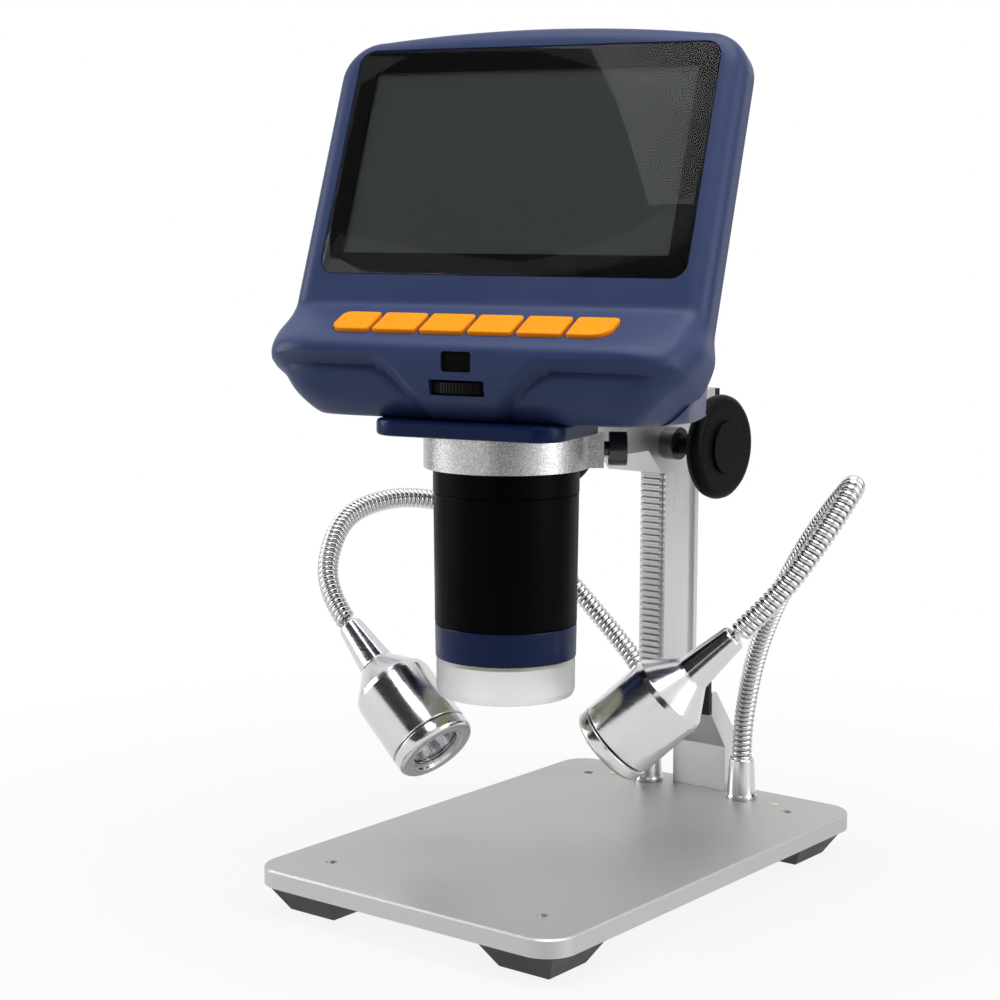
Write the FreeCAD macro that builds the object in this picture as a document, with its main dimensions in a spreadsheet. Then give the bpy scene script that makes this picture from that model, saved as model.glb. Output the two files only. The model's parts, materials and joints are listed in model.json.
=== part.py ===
import FreeCAD, Part
import math
import os
import re
import Sketcher
from FreeCAD import Placement, Rotation, Vector

# LCD digital microscope: a plate stand with a rack-and-pinion mast, a tilted display head
# clamped in a ring, and two gooseneck lamps. Millimetres, +Z up, origin on the table under
# the middle of the base plate, the user at -Y.

doc = FreeCAD.newDocument("lcd_digital_microscope")

# Driving dimensions
SIZES = {
    # stand
    "plate_w": 104, "plate_d": 154, "plate_t": 5, "plate_corner": 9, "plate_edge": 0.5,
    "foot_high": 8, "foot_top": 26, "foot_low": 16, "foot_x": 36.5, "foot_y": 61,
    "screw_m3": 3, "m3_head": 5.6, "m3_head_high": 1.8,
    "plate_screw_x": 29.7, "plate_screw_y": 65.5,
    "strap_w": 19.2, "strap_y": 69, "strap_leg_t": 7.8, "strap_leg_high": 14,
    "strap_nose_low": 25.4, "strap_top": 32.5, "strap_top_t": 2.6, "strap_back_low": 15.4,
    "pad_t": 1.4, "pad_low": 25.8, "pad_high": 12,
    "mast_w": 9, "mast_d": 17.9, "mast_front": 41.7, "mast_low": 20, "mast_top": 158,
    "mast_slot_w": 3.4, "mast_slot_t": 0.9, "mast_slot_y": 56,
    "cap_t": 2.5,
    "rack_w": 6.6, "rack_t": 3.1, "rack_low": 22, "rack_drop": 8, "teeth_low": 45,
    "gear_module": 0.6, "pinion_teeth": 18, "gear_play": 0.12,
    # carriage
    "slide_gap": 0.35, "slider_low": 103, "slider_top": 126, "slider_front": 32,
    "arm_low": 110.3, "arm_top": 119.6, "cover_t": 2.6,
    "gusset": 7.3, "pinion_z": 111.8, "shaft_r": 2, "fit_gap": 0.05,
    "bush_r": 4.8, "bush_out": 4.2, "bush_in": 3.4,
    "knob_x": 27, "knob_r": 15, "knob_t": 5.2, "knob_round": 2.4, "hub_r": 3.1, "hub_len": 10.2,
    "knob_cap_r": 7.7, "knob_cap_t": 0.9,
    # ring clamp
    "barrel_y": -29.7, "ring_r": 22.45, "ring_low": 110.2, "ring_high": 9.7, "neck_r": 19,
    "ring_gap": 0.15, "boss_w": 9, "boss_out": 26.2, "boss_angle": 38, "boss_slit": 0.6,
    "boss_slit_at": 24.2, "stud_r": 2, "nut_r": 4.7, "nut_t": 5, "nut_at": 27.6,
    # head
    "head_yaw": 13.4, "lcd_y": 5.47, "lcd_z": 192.4, "face_tilt": 23.5,
    "head_w": 121, "chin_out": 1.5, "head_up": 39.2, "head_down": 42.5, "head_corner": 12,
    "shell_depth": 17, "rear_top_depth": 21, "shell_wall": 2.2,
    "ledge_y": -11.5, "ledge_z": 153.4, "nose_y": -32.3, "nose_z": 144.7,
    "chin_low": 124.4, "chin_y": -26, "lip_z": 131, "lip_y": -31.4, "rear_low_y": 22.5,
    "glass_w": 106.6, "glass_h": 66.8, "glass_t": 1.1, "glass_corner": 4.5, "glass_sink": 0.3,
    "lcd_w": 105.5, "lcd_h": 67.2, "lcd_t": 3, "lcd_active_w": 95, "lcd_active_h": 53.9,
    "board_w": 100, "board_h": 62, "board_t": 1.6, "board_depth": 11,
    "key_pitch": 13.8, "key_w": 12.8, "key_d": 10.2, "key_out": 1.1, "key_t": 2.6,
    "key_travel": 0.8, "key_gap": 0.25,
    "ir_w": 8.4, "ir_h": 5.2, "ir_z": 140.4, "ir_t": 1.2,
    "wheel_r": 10, "wheel_t": 2.8, "wheel_z": 133.6, "wheel_out": 0.8, "wheel_slot_w": 15.6,
    "wheel_slot_h": 4.1,
    "flange_w": 54, "flange_front": 30, "flange_t": 4.3, "flange_corner": 8,
    "flange_back_r": 24,
    "card_w": 24, "card_h": 2.6, "usb_w": 8.2, "usb_h": 3.2,
    # barrel
    "collar_r": 19.9, "collar_low": 103.4, "grip_low": 67.6, "grip_r": 19.6, "grip_wall": 1.7,
    "band_low": 58.3, "band_r": 19.4, "skirt_low": 47.8, "skirt_r": 19, "skirt_wall": 1.6,
    "tube_r": 16.6, "tube_wall": 1.6, "lens_r": 9, "lens_z": 84, "lens_high": 12,
    "sleeve_gap": 0.1, "front_glass_t": 1.5, "led_board_t": 1.2, "lens_travel": 6,
    # lamps
    "ferrule_x": 17.2, "ferrule_y": 66.3, "ferrule_r": 4.8, "ferrule_top_r": 3.8,
    "ferrule_high": 12.6, "ferrule_spigot": 3.2, "hose_r": 3.1, "ball_r": 2.7, "ball_gap": 0.08,
    "hose_cut": 1.3, "lamp_r": 11.7, "lamp_len": 19.6, "bezel_len": 4.2, "shoulder_len": 8.4,
    "lamp_neck_len": 17, "lamp_neck_r": 3.6, "lamp_neck_low_r": 5.2, "lamp_wall": 1.4,
    "lamp_lens_r": 7.6, "lamp_lens_t": 2.4, "lamp_lens_sink": 1.6, "led_r": 9.4, "led_t": 1.6,
    "box_w": 30, "box_d": 22, "box_h": 5.6, "box_wall": 1.4, "socket_r": 2.1,
}
# Lengths that follow from the driving ones
DERIVED = {
    "tilt": "(face_tilt * 1deg)",
    "pinion_at": "(plate_top + pinion_z)",
    "slider_end": "(pad_y + slide_gap)",
    "ring_top": "(ring_low + ring_high)",
    "seam_low_y": "(lcd_y + (chin_low - lcd_z) * tan(tilt) + shell_depth / cos(tilt))",
    "tube_bore": "(tube_r - tube_wall)",
    "plate_top": "(foot_high + plate_t)",
    "chin_w": "(head_w + 2 * chin_out)",
    "rack_top": "(mast_top - rack_drop)",
    "pitch_r": "(gear_module * pinion_teeth / 2)",
    "rack_tip": "(mast_front - rack_t + 1.4)",
    "pinion_y": "(rack_tip + gear_module - pitch_r - 0.2)",
    "pad_y": "(mast_front + mast_d)",
    "nose_face": "(pad_y + pad_t)",
}
SHEET = doc.addObject("Spreadsheet::Sheet", "Sizes")
for row, (word, number) in enumerate(SIZES.items(), 1):
    SHEET.set(f"A{row}", word)
    SHEET.set(f"B{row}", str(number))
    SHEET.setAlias(f"B{row}", word)
doc.recompute()


def spell(text):
    """Writes a short expression with the sheet's own names in full."""
    text = str(text)
    while re.search(r"\b(" + "|".join(DERIVED) + r")\b", text):
        text = re.sub(r"\b(" + "|".join(DERIVED) + r")\b", lambda m: DERIVED[m.group()], text)
    return re.sub(r"\b[a-z][a-z0-9_]*\b",
                  lambda m: "Sizes." + m.group() if m.group() in SIZES else m.group(), text)


def size(text):
    """The value of a short expression, read from the sheet."""
    words = re.sub(r"Sizes\.(\w+)", lambda m: str(getattr(SHEET, m.group(1))), spell(text))
    return float(SHEET.evalExpression(words))


def bind(thing, prop, text):
    thing.setExpression(prop, spell(text))


def put(thing, at=(0, 0, 0), axis="Z"):
    """Stands a primitive along an axis and ties its place to the sheet."""
    turns = {"Z": Rotation(), "X": Rotation(Vector(0, 1, 0), 90), "Y": Rotation(Vector(1, 0, 0), -90)}
    thing.Placement = Placement(Vector(), turns[axis])
    for letter, text in zip("xyz", at):
        bind(thing, ".Placement.Base." + letter, text)
    return thing


def box(name, size3, at):
    """A box given by its sizes and the middle of its underside."""
    thing = doc.addObject("Part::Box", name)
    for prop, text in zip(("Length", "Width", "Height"), size3):
        bind(thing, prop, text)
    x, y, z = at
    return put(thing, (f"({x}) - ({size3[0]}) / 2", f"({y}) - ({size3[1]}) / 2", z))


def rod(name, radius, length, at, axis="Z", low_radius=None):
    """A cylinder, or a cone when a second radius is given."""
    kind = "Part::Cylinder" if low_radius is None else "Part::Cone"
    thing = doc.addObject(kind, name)
    if low_radius is None:
        bind(thing, "Radius", radius)
    else:
        bind(thing, "Radius1", low_radius)
        bind(thing, "Radius2", radius)
    bind(thing, "Height", length)
    return put(thing, at, axis)


def joined(name, things):
    thing = doc.addObject("Part::MultiFuse", name)
    thing.Shapes = things
    return thing


def group(name, things):
    """Several like solids of one sub-part, kept apart."""
    thing = doc.addObject("Part::Compound", name)
    thing.Links = things
    return thing


def cut(name, base, tools):
    thing = doc.addObject("Part::Cut", name)
    thing.Base = base
    thing.Tool = tools[0] if len(tools) == 1 else joined(name + "_tools", tools)
    return thing


def rounded(name, base, radius, chosen):
    """Rounds the edges that the test picks."""
    doc.recompute()
    thing = doc.addObject("Part::Fillet", name)
    thing.Base = base
    r = size(radius)
    thing.Edges = [(n, r, r) for n, edge in enumerate(base.Shape.Edges, 1) if chosen(edge)]
    return thing


def upright(edge):
    a, b = edge.Vertexes[0].Point, edge.Vertexes[-1].Point
    return len(edge.Vertexes) == 2 and abs(a.x - b.x) < 1e-6 and abs(a.y - b.y) < 1e-6


def body(name):
    return doc.addObject("PartDesign::Body", name)


def sketch(owner, plane, name):
    """An empty sketch on one of the body's own origin planes."""
    drawing = owner.newObject("Sketcher::SketchObject", name)
    role = [f for f in owner.Origin.OriginFeatures if f.Role == plane][0]
    drawing.AttachmentSupport = [(role, "")]
    drawing.MapMode = "FlatFace"
    return drawing


def outline(drawing, corners):
    """A closed outline of straight lines whose corners follow the sheet."""
    points = [Vector(size(a), size(b), 0) for a, b in corners]
    first = drawing.GeometryCount
    count = len(points)
    for n in range(count):
        drawing.addGeometry(Part.LineSegment(points[n], points[(n + 1) % count]), False)
    for n in range(count):
        drawing.addConstraint(Sketcher.Constraint(
            "Coincident", first + n, 2, first + (n + 1) % count, 1))
    for n, (a, b) in enumerate(corners):
        for kind, text, value in (("DistanceX", a, points[n].x), ("DistanceY", b, points[n].y)):
            index = drawing.addConstraint(
                Sketcher.Constraint(kind, -1, 1, first + n, 1, value))
            drawing.setExpression(f"Constraints[{index}]", spell(text))


def circle(drawing, radius, at):
    spot = Vector(size(at[0]), size(at[1]), 0)
    index = drawing.addGeometry(Part.Circle(spot, Vector(0, 0, 1), size(radius)), False)
    named = [drawing.addConstraint(Sketcher.Constraint("Radius", index, size(radius)))]
    named.append(drawing.addConstraint(Sketcher.Constraint("DistanceX", -1, 1, index, 3, spot.x)))
    named.append(drawing.addConstraint(Sketcher.Constraint("DistanceY", -1, 1, index, 3, spot.y)))
    for constraint, text in zip(named, (radius, at[0], at[1])):
        drawing.setExpression(f"Constraints[{constraint}]", spell(text))


def pad(owner, drawing, length, both=False):
    feature = owner.newObject("PartDesign::Pad", drawing.Name + "_pad")
    feature.Profile = drawing
    bind(feature, "Length", length)
    if both:
        feature.SideType = "Symmetric"
    drawing.Visibility = False
    doc.recompute()
    return feature


def pocket(owner, drawing, length, both=False):
    """A pocket, turned round when its first direction points away from the solid."""
    before = owner.Shape.Volume
    feature = owner.newObject("PartDesign::Pocket", drawing.Name + "_pocket")
    feature.Profile = drawing
    bind(feature, "Length", length)
    if both:
        feature.SideType = "Symmetric"
    for feature.Reversed in (False, True):
        doc.recompute()
        if "Invalid" not in feature.State and feature.Shape.Volume < before - 1e-3:
            return feature
    raise RuntimeError(f"{owner.Label}: {drawing.Name} cuts nothing")


def carried(thing, frame):
    """Moves a finished piece, with its own place, into another frame."""
    doc.recompute()
    local = thing.Placement
    for prop, _ in thing.ExpressionEngine:
        if "Placement" in prop:
            thing.setExpression(prop, None)
    thing.Placement = frame.multiply(local)
    return thing


def turned(name, corners, at=None):
    """A body turned about its own vertical axis from (radius, height) corners."""
    owner = body(name)
    drawing = sketch(owner, "XZ_Plane", name + "_half")
    outline(drawing, corners)
    feature = owner.newObject("PartDesign::Revolution", name + "_turn")
    feature.Profile = drawing
    feature.ReferenceAxis = (drawing, ["V_Axis"])
    feature.Angle = 360
    if at:
        put(owner, at)
    doc.recompute()
    return owner


PARTS = {}


def keep(name, thing):
    """Books a finished sub-part under the name of its file."""
    thing.Label = name
    PARTS[name] = thing
    return thing


def corners_of(x, y):
    return [(sx + x, sy + y) for sx in ("-", "") for sy in ("-", "")]


# Base plate: rounded rectangle, broken top edge, holes for what stands on it
owner = body("Base")
drawing = sketch(owner, "XY_Plane", "plate_outline")
outline(drawing, [("-plate_w / 2", "-plate_d / 2"), ("plate_w / 2", "-plate_d / 2"),
                  ("plate_w / 2", "plate_d / 2"), ("-plate_w / 2", "plate_d / 2")])
slab = pad(owner, drawing, "plate_t")
feature = owner.newObject("PartDesign::Fillet", "plate_corners")
feature.Base = (slab, [f"Edge{n}" for n, e in enumerate(slab.Shape.Edges, 1) if upright(e)])
bind(feature, "Radius", "plate_corner")
doc.recompute()
top_face = max(range(len(feature.Shape.Faces)), key=lambda n: feature.Shape.Faces[n].CenterOfMass.z)
edge_break = owner.newObject("PartDesign::Chamfer", "plate_edge_break")
edge_break.Base = (feature, [f"Face{top_face + 1}"])
bind(edge_break, "Size", "plate_edge")
doc.recompute()
drawing = sketch(owner, "XY_Plane", "plate_holes")
for side in ("-", ""):
    circle(drawing, "screw_m3 / 2 + fit_gap", (side + "plate_screw_x", "plate_screw_y"))
    circle(drawing, "ferrule_spigot + fit_gap", (side + "ferrule_x", "ferrule_y"))
    circle(drawing, "screw_m3 / 2 + fit_gap", (side + "5", "strap_y + strap_leg_t / 2"))
for x, y in corners_of("foot_x", "foot_y"):
    circle(drawing, "screw_m3 / 2 + fit_gap", (x, y))
pocket(owner, drawing, "plate_t * 4", both=True)
put(owner, ("0", "0", "foot_high"))
keep("base_plate", owner)

# Rubber feet: tapered blocks under the corners
feet = []
for n, (x, y) in enumerate(corners_of("foot_x", "foot_y")):
    foot = body(f"Foot{n}")
    low = sketch(foot, "XY_Plane", f"foot_sole_{n}")
    low_half, top_half = "foot_low / 2", "foot_top / 2"
    outline(low, [(f"-{low_half}", f"-{low_half}"), (low_half, f"-{low_half}"),
                  (low_half, low_half), (f"-{low_half}", low_half)])
    top = sketch(foot, "XY_Plane", f"foot_head_{n}")
    bind(top, ".AttachmentOffset.Base.z", "foot_high")
    outline(top, [(f"-{top_half}", f"-{top_half}"), (top_half, f"-{top_half}"),
                  (top_half, top_half), (f"-{top_half}", top_half)])
    feature = foot.newObject("PartDesign::AdditiveLoft", f"foot_taper_{n}")
    feature.Profile = low
    feature.Sections = [top]
    doc.recompute()
    hole = sketch(foot, "XY_Plane", f"foot_hole_{n}")
    circle(hole, "m3_head / 2 + fit_gap * 4", ("0", "0"))
    pocket(foot, hole, "foot_high / 2")
    hole = sketch(foot, "XY_Plane", f"foot_bore_{n}")
    circle(hole, "screw_m3 / 2 + fit_gap", ("0", "0"))
    pocket(foot, hole, "foot_high * 3", both=True)
    put(foot, (x, y, "0"))
    feet.append(foot)
keep("rubber_feet", group("Feet", feet))

# Screws that hold the feet, and the two that show on top of the plate
screws = []
for n, (x, y) in enumerate(corners_of("foot_x", "foot_y")):
    head = rod(f"foot_screw_head_{n}", "m3_head / 2", "m3_head_high",
               (x, y, "foot_high / 2 - m3_head_high"))
    shank = rod(f"foot_screw_shank_{n}", "screw_m3 / 2", "foot_high / 2 + plate_t - 0.6",
                (x, y, "foot_high / 2"))
    screws.append(joined(f"foot_screw_{n}", [head, shank]))
keep("foot_screws", group("FootScrews", screws))
screws = [rod(f"plate_screw_{n}", "screw_m3 / 2", "plate_t + 0.06",
              (side + "plate_screw_x", "plate_screw_y", "foot_high + 0.04"))
          for n, side in enumerate(("-", ""))]
keep("plate_screws", group("PlateScrews", screws))

# Mast foot: a dog-legged strap that leans forward to carry the mast over the plate
owner = body("Strap")
drawing = sketch(owner, "YZ_Plane", "strap_side")
outline(drawing, [("strap_y", "0"), ("strap_y + strap_leg_t", "0"),
                  ("strap_y + strap_leg_t", "strap_back_low"),
                  ("nose_face + strap_top_t", "strap_top"), ("nose_face", "strap_top"),
                  ("nose_face", "strap_nose_low"), ("strap_y", "strap_leg_high")])
pad(owner, drawing, "strap_w", both=True)
drawing = sketch(owner, "XY_Plane", "strap_foot_holes")
for side in ("-", ""):
    circle(drawing, "screw_m3 / 2 + fit_gap", (side + "5", "strap_y + strap_leg_t / 2"))
pocket(owner, drawing, "9")
drawing = sketch(owner, "XZ_Plane", "strap_nose_holes")
for side in ("-", ""):
    circle(drawing, "screw_m3 / 2 + fit_gap", (side + "2.6", "29"))
pocket(owner, drawing, "plate_d")
put(owner, ("0", "0", "plate_top"))
keep("mast_foot", owner)

# Black pad between the strap and the back of the mast
pad_block = box("pad_block", ("strap_w - 0.4", "pad_t", "pad_high"),
                ("0", "pad_y + pad_t / 2", "plate_top + pad_low"))
holes = [rod(f"pad_hole_{n}", "screw_m3 / 2 + fit_gap", "pad_t * 3",
             (side + "2.6", "pad_y - pad_t", "plate_top + 29"), "Y")
         for n, side in enumerate(("-", ""))]
keep("mast_pad", cut("Pad", pad_block, holes))
screws = []
for n, side in enumerate(("-", "")):
    screws.append(rod(f"mast_screw_{n}", "screw_m3 / 2", "pad_t + 12",
                      (side + "2.6", "pad_y - 6", "plate_top + 29"), "Y"))
    screws.append(rod(f"strap_screw_{n}", "screw_m3 / 2", "plate_t + 8",
                      (side + "5", "strap_y + strap_leg_t / 2", "foot_high - 0.2")))
keep("mast_screws", group("MastScrews", screws))

# Mast: aluminium bar, a seat for the rack in front and a slot down each side
owner = body("Mast")
drawing = sketch(owner, "XY_Plane", "mast_section")
half, front, back = "mast_w / 2", "mast_front", "mast_front + mast_d"
slot_a, slot_b = "mast_slot_y - mast_slot_w / 2", "mast_slot_y + mast_slot_w / 2"
inner, seat = "(mast_w / 2 - mast_slot_t)", "(mast_front + rack_t - 1.4)"
outline(drawing, [(f"-{half}", front), (f"-{half}", slot_a), (f"-{inner}", slot_a),
                  (f"-{inner}", slot_b), (f"-{half}", slot_b), (f"-{half}", back),
                  (half, back), (half, slot_b), (inner, slot_b), (inner, slot_a),
                  (half, slot_a), (half, front), ("rack_w / 2", front), ("rack_w / 2", seat),
                  ("-rack_w / 2", seat), ("-rack_w / 2", front)])
pad(owner, drawing, "mast_top - mast_low")
put(owner, ("0", "0", "plate_top + mast_low"))
holes = [rod(f"mast_hole_{n}", "screw_m3 / 2 + fit_gap", "8",
             (side + "2.6", "pad_y - 7", "plate_top + 29"), "Y")
         for n, side in enumerate(("-", ""))]
keep("mast_bar", cut("MastBored", owner, holes))
keep("mast_cap", box("mast_cap", ("mast_w + 1", "mast_d + 1", "cap_t"),
                     ("0", "mast_front + mast_d / 2", "plate_top + mast_top")))

# Rack: toothed strip let into the mast
blank = box("rack_blank", ("rack_w", "rack_t", "rack_top - rack_low"),
            ("0", "rack_tip + rack_t / 2", "plate_top + rack_low"))
pitch = math.pi * size("gear_module")
tooth_floor = size("rack_tip + 2.2 * gear_module")
tip_y, module = size("rack_tip"), size("gear_module")
gaps = []
count = int((size("rack_top") - size("teeth_low")) / pitch)
# the pinion has a tooth pointing at the rack, so a gap of the rack lies at its height
gear_z = size("plate_top + pinion_z")
first = gear_z - pitch * int((size("pinion_z") - size("teeth_low")) / pitch)
for n in range(count):
    z = first + n * pitch
    if z + pitch > size("plate_top + rack_top"):
        break
    wide, narrow = pitch / 2 + 0.45 * module, pitch / 2 - 0.45 * module
    # each gap is widest at the tips of the rack's teeth
    loop = [Vector(0, tip_y - 0.5, z - wide / 2 - 0.15), Vector(0, tooth_floor, z - narrow / 2),
            Vector(0, tooth_floor, z + narrow / 2), Vector(0, tip_y - 0.5, z + wide / 2 + 0.15)]
    face = Part.Face(Part.makePolygon(loop + loop[:1]))
    face.translate(Vector(-size("rack_w"), 0, 0))
    gaps.append(face.extrude(Vector(2 * size("rack_w"), 0, 0)))
tooth_gaps = doc.addObject("Part::Feature", "rack_gaps")
tooth_gaps.Shape = Part.makeCompound(gaps)
keep("mast_rack", cut("Rack", blank, [tooth_gaps]))

# Carriage: the arm that holds the ring and the slider that runs on the mast, in one casting
owner = body("Carriage")
drawing = sketch(owner, "YZ_Plane", "carriage_side")
outline(drawing, [("barrel_y + neck_r - 3", "arm_low"), ("slider_front - gusset", "arm_low"),
                  ("slider_front", "slider_low"), ("slider_end", "slider_low"),
                  ("slider_end", "slider_top"), ("slider_front", "slider_top"),
                  ("slider_front - slider_top + arm_top", "arm_top"),
                  ("barrel_y + neck_r - 3", "arm_top")])
pad(owner, drawing, "strap_w", both=True)
drawing = sketch(owner, "XY_Plane", "mast_channel")
half, rack_half = "(mast_w / 2 + slide_gap)", "(rack_w / 2 + slide_gap)"
front, tip, far = "mast_front - slide_gap", "rack_tip - slide_gap", "slider_end + 5"
outline(drawing, [("-" + half, front), ("-" + rack_half, front), ("-" + rack_half, tip),
                  (rack_half, tip), (rack_half, front), (half, front), (half, far),
                  ("-" + half, far)])
pocket(owner, drawing, "slider_top * 4", both=True)
put(owner, ("0", "0", "plate_top"))
gear_room = rod("gear_room", "pitch_r + gear_module + 0.7", "rack_w + 2 * slide_gap",
                ("-rack_w / 2 - slide_gap", "pinion_y", "pinion_at"), "X")
bush_hole = rod("bush_hole", "bush_r - 1", "strap_w * 2", ("-strap_w", "pinion_y", "pinion_at"), "X")
ring_seat = rod("ring_seat", "ring_r + fit_gap", "plate_d",
                ("0", "barrel_y", "plate_top"))
arm_holes = [rod(f"arm_hole_{n}", "1.25 + fit_gap", "14",
                 (side + "5", "barrel_y + neck_r + ring_gap", "plate_top + ring_low + ring_high / 2"),
                 "Y") for n, side in enumerate(("-", ""))]
cover_holes = [rod(f"cover_hole_{n}", "1.25 + fit_gap", "8",
                   (sx + "7.3", "slider_end - 6", f"plate_top + {z}"), "Y")
               for n, (sx, z) in enumerate((sx, z) for sx in ("-", "") for z in (108, 121))]
keep("carriage", cut("CarriageBored", owner,
                     [gear_room, bush_hole, ring_seat] + arm_holes + cover_holes))
cover = box("cover_plate", ("strap_w", "cover_t", "slider_top - slider_low"),
            ("0", "slider_end + cover_t / 2", "plate_top + slider_low"))
holes = [rod(f"lid_hole_{n}", "1.25 + fit_gap", "8",
             (sx + "7.3", "slider_end - 2", f"plate_top + {z}"), "Y")
         for n, (sx, z) in enumerate((sx, z) for sx in ("-", "") for z in (108, 121))]
keep("carriage_cover", cut("Cover", cover, holes))
screws = []
for n, (sx, z) in enumerate((sx, z) for sx in ("-", "") for z in (108, 121)):
    shank = rod(f"cover_shank_{n}", "1.25", "cover_t + 5",
                (sx + "7.3", "slider_end - 5", f"plate_top + {z}"), "Y")
    head = rod(f"cover_head_{n}", "2.2", "1.3",
               (sx + "7.3", "slider_end + cover_t", f"plate_top + {z}"), "Y")
    screws.append(joined(f"cover_screw_{n}", [shank, head]))
for n, side in enumerate(("-", "")):
    screws.append(rod(f"ring_screw_{n}", "1.25", "11",
                      (side + "5", "barrel_y + neck_r + ring_gap + 0.6",
                       "plate_top + ring_low + ring_high / 2"), "Y"))
keep("carriage_screws", group("CarriageScrews", screws))
bushes = []
for n, (side, start) in enumerate((("-", "-strap_w / 2 - bush_out"), ("", "strap_w / 2"))):
    collar = rod(f"bush_collar_{n}", "bush_r", "bush_out", (start, "pinion_y", "pinion_at"), "X")
    inner_start = "-strap_w / 2" if side else "strap_w / 2 - bush_in"
    sleeve = rod(f"bush_sleeve_{n}", "bush_r - 1 - fit_gap", "bush_in",
                 (inner_start, "pinion_y", "pinion_at"), "X")
    bore = rod(f"bush_bore_{n}", "shaft_r + fit_gap", "strap_w * 3",
               ("-strap_w * 1.5", "pinion_y", "pinion_at"), "X")
    bushes.append(cut(f"bush_{n}", joined(f"bush_blank_{n}", [collar, sleeve]), [bore]))
keep("shaft_bushes", group("Bushes", bushes))

# Pinion shaft, gear and the two knobs
keep("pinion_shaft", rod("shaft", "shaft_r", "2 * knob_x", ("-knob_x", "pinion_y", "pinion_at"), "X"))
teeth = int(size("pinion_teeth"))
module, play = size("gear_module"), size("gear_play")
root, tip, pitch_r = size("pitch_r") - 1.15 * module, size("pitch_r + gear_module * 0.9"), size("pitch_r")
tooth_w = math.pi * module / 2 - play
points = []
for n in range(teeth):
    mid = 2 * math.pi * n / teeth
    for radius, share in ((root, 0.78), (pitch_r, 0.5), (tip, 0.24)):
        points.append((radius, mid - tooth_w * share / radius))
    for radius, share in ((tip, 0.24), (pitch_r, 0.5), (root, 0.78)):
        points.append((radius, mid + tooth_w * share / radius))
# a tooth points along +Y, at the rack
loop = [Vector(0, r * math.cos(a), r * math.sin(a)) for r, a in points]
wheel = Part.Face(Part.makePolygon(loop + loop[:1])).extrude(Vector(size("rack_w"), 0, 0))
wheel = wheel.cut(Part.makeCylinder(size("shaft_r"), 99, Vector(-9, 0, 0), Vector(1, 0, 0)))
gear = doc.addObject("Part::Feature", "Pinion")
gear.Shape = wheel
gear.Placement = Placement(Vector(-size("rack_w / 2"), size("pinion_y"), size("pinion_at")), Rotation())
keep("pinion_gear", gear)
edge_points = [("knob_r - knob_round", "knob_t / 2"),
               ("knob_r - knob_round / 2", "knob_t / 2 - knob_round * 0.134"),
               ("knob_r - knob_round * 0.134", "knob_t / 2 - knob_round / 2"),
               ("knob_r", "knob_t / 2 - knob_round")]
for name, side in (("knob_right", 1), ("knob_left", -1)):
    corners = [("shaft_r", "-hub_len - knob_t / 2"), ("hub_r", "-hub_len - knob_t / 2"),
               ("hub_r", "-knob_t / 2")]
    corners += [(r, f"-({h})") for r, h in edge_points]
    corners += edge_points[::-1] + [("0", "knob_t / 2"), ("0", "0"), ("shaft_r", "0")]
    knob = turned(name + "_body", corners)
    knob.Placement = Placement(Vector(), Rotation(Vector(0, 1, 0), 90 * side))
    for letter, text in (("x", f"{side} * knob_x"), ("y", "pinion_y"), ("z", "pinion_at")):
        bind(knob, ".Placement.Base." + letter, text)
    keep(name, knob)
caps = [rod("cap_right", "knob_cap_r", "knob_cap_t",
            ("knob_x + knob_t / 2", "pinion_y", "pinion_at"), "X"),
        rod("cap_left", "knob_cap_r", "knob_cap_t",
            ("-knob_x - knob_t / 2 - knob_cap_t", "pinion_y", "pinion_at"), "X")]
keep("knob_caps", group("KnobCaps", caps))

# Ring clamp with its boss, and the thumb screw that runs out of it
# Its boss and screw are drawn along +X and swung round to the boss's direction.
CLAMP = Placement(Vector(0, size("barrel_y"), size("plate_top + ring_low")),
                  Rotation(Vector(0, 0, 1), size("boss_angle")))
ring_mid = "ring_high / 2"
boss = box("boss_block", ("boss_out - neck_r", "boss_w", "ring_high"),
           ("(boss_out + neck_r) / 2", "0", "0"))
band = rod("ring_band", "ring_r", "ring_high", ("0", "0", "0"))
bore = rod("ring_bore", "neck_r + ring_gap", "ring_high * 3", ("0", "0", "-ring_high"))
slit = box("boss_slit_cut", ("boss_slit", "boss_w * 0.8", "ring_high * 3"),
           ("boss_slit_at", "boss_w * 0.3", "-ring_high"))
stud_hole = rod("stud_hole", "stud_r + fit_gap", "boss_out", ("boss_out / 2", "0", ring_mid), "X")
clamp = cut("Clamp", joined("clamp_blank", [boss, band]), [bore, slit, stud_hole])
carried(clamp, CLAMP)
holes = [rod(f"ring_hole_{n}", "1.25 + fit_gap", "8",
             (side + "5", "barrel_y + neck_r - 2", "plate_top + ring_low + ring_high / 2"), "Y")
         for n, side in enumerate(("-", ""))]
keep("ring_clamp", cut("RingClamp", clamp, holes))
stud = rod("stud", "stud_r", "nut_at + nut_t - neck_r - 0.5", ("neck_r + 0.5", "0", ring_mid), "X")
nut = rod("nut", "nut_r", "nut_t", ("nut_at", "0", ring_mid), "X")
keep("clamp_screw", carried(joined("ClampScrew", [stud, nut]), CLAMP))

# Display head. Its pieces are drawn about the barrel's axis, facing -Y, and the whole head
# stands turned in the ring.
HEAD = Placement(Vector(0, size("barrel_y"), size("plate_top")), Rotation(Vector(0, 0, 1), size("head_yaw")))
FACE = Placement(Vector(0, size("lcd_y"), size("lcd_z")), Rotation(Vector(1, 0, 0), -size("face_tilt")))
slope = math.degrees(math.atan2(size("ledge_z - nose_z"), size("ledge_y - nose_y")))
LEDGE = Placement(Vector(0, size("(ledge_y + nose_y) / 2"), size("(ledge_z + nose_z) / 2")),
                  Rotation(Vector(1, 0, 0), slope))


def stood(name, thing):
    """Moves a finished piece from its drawing frame to its place in the turned head."""
    return keep(name, carried(thing, HEAD))


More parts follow.
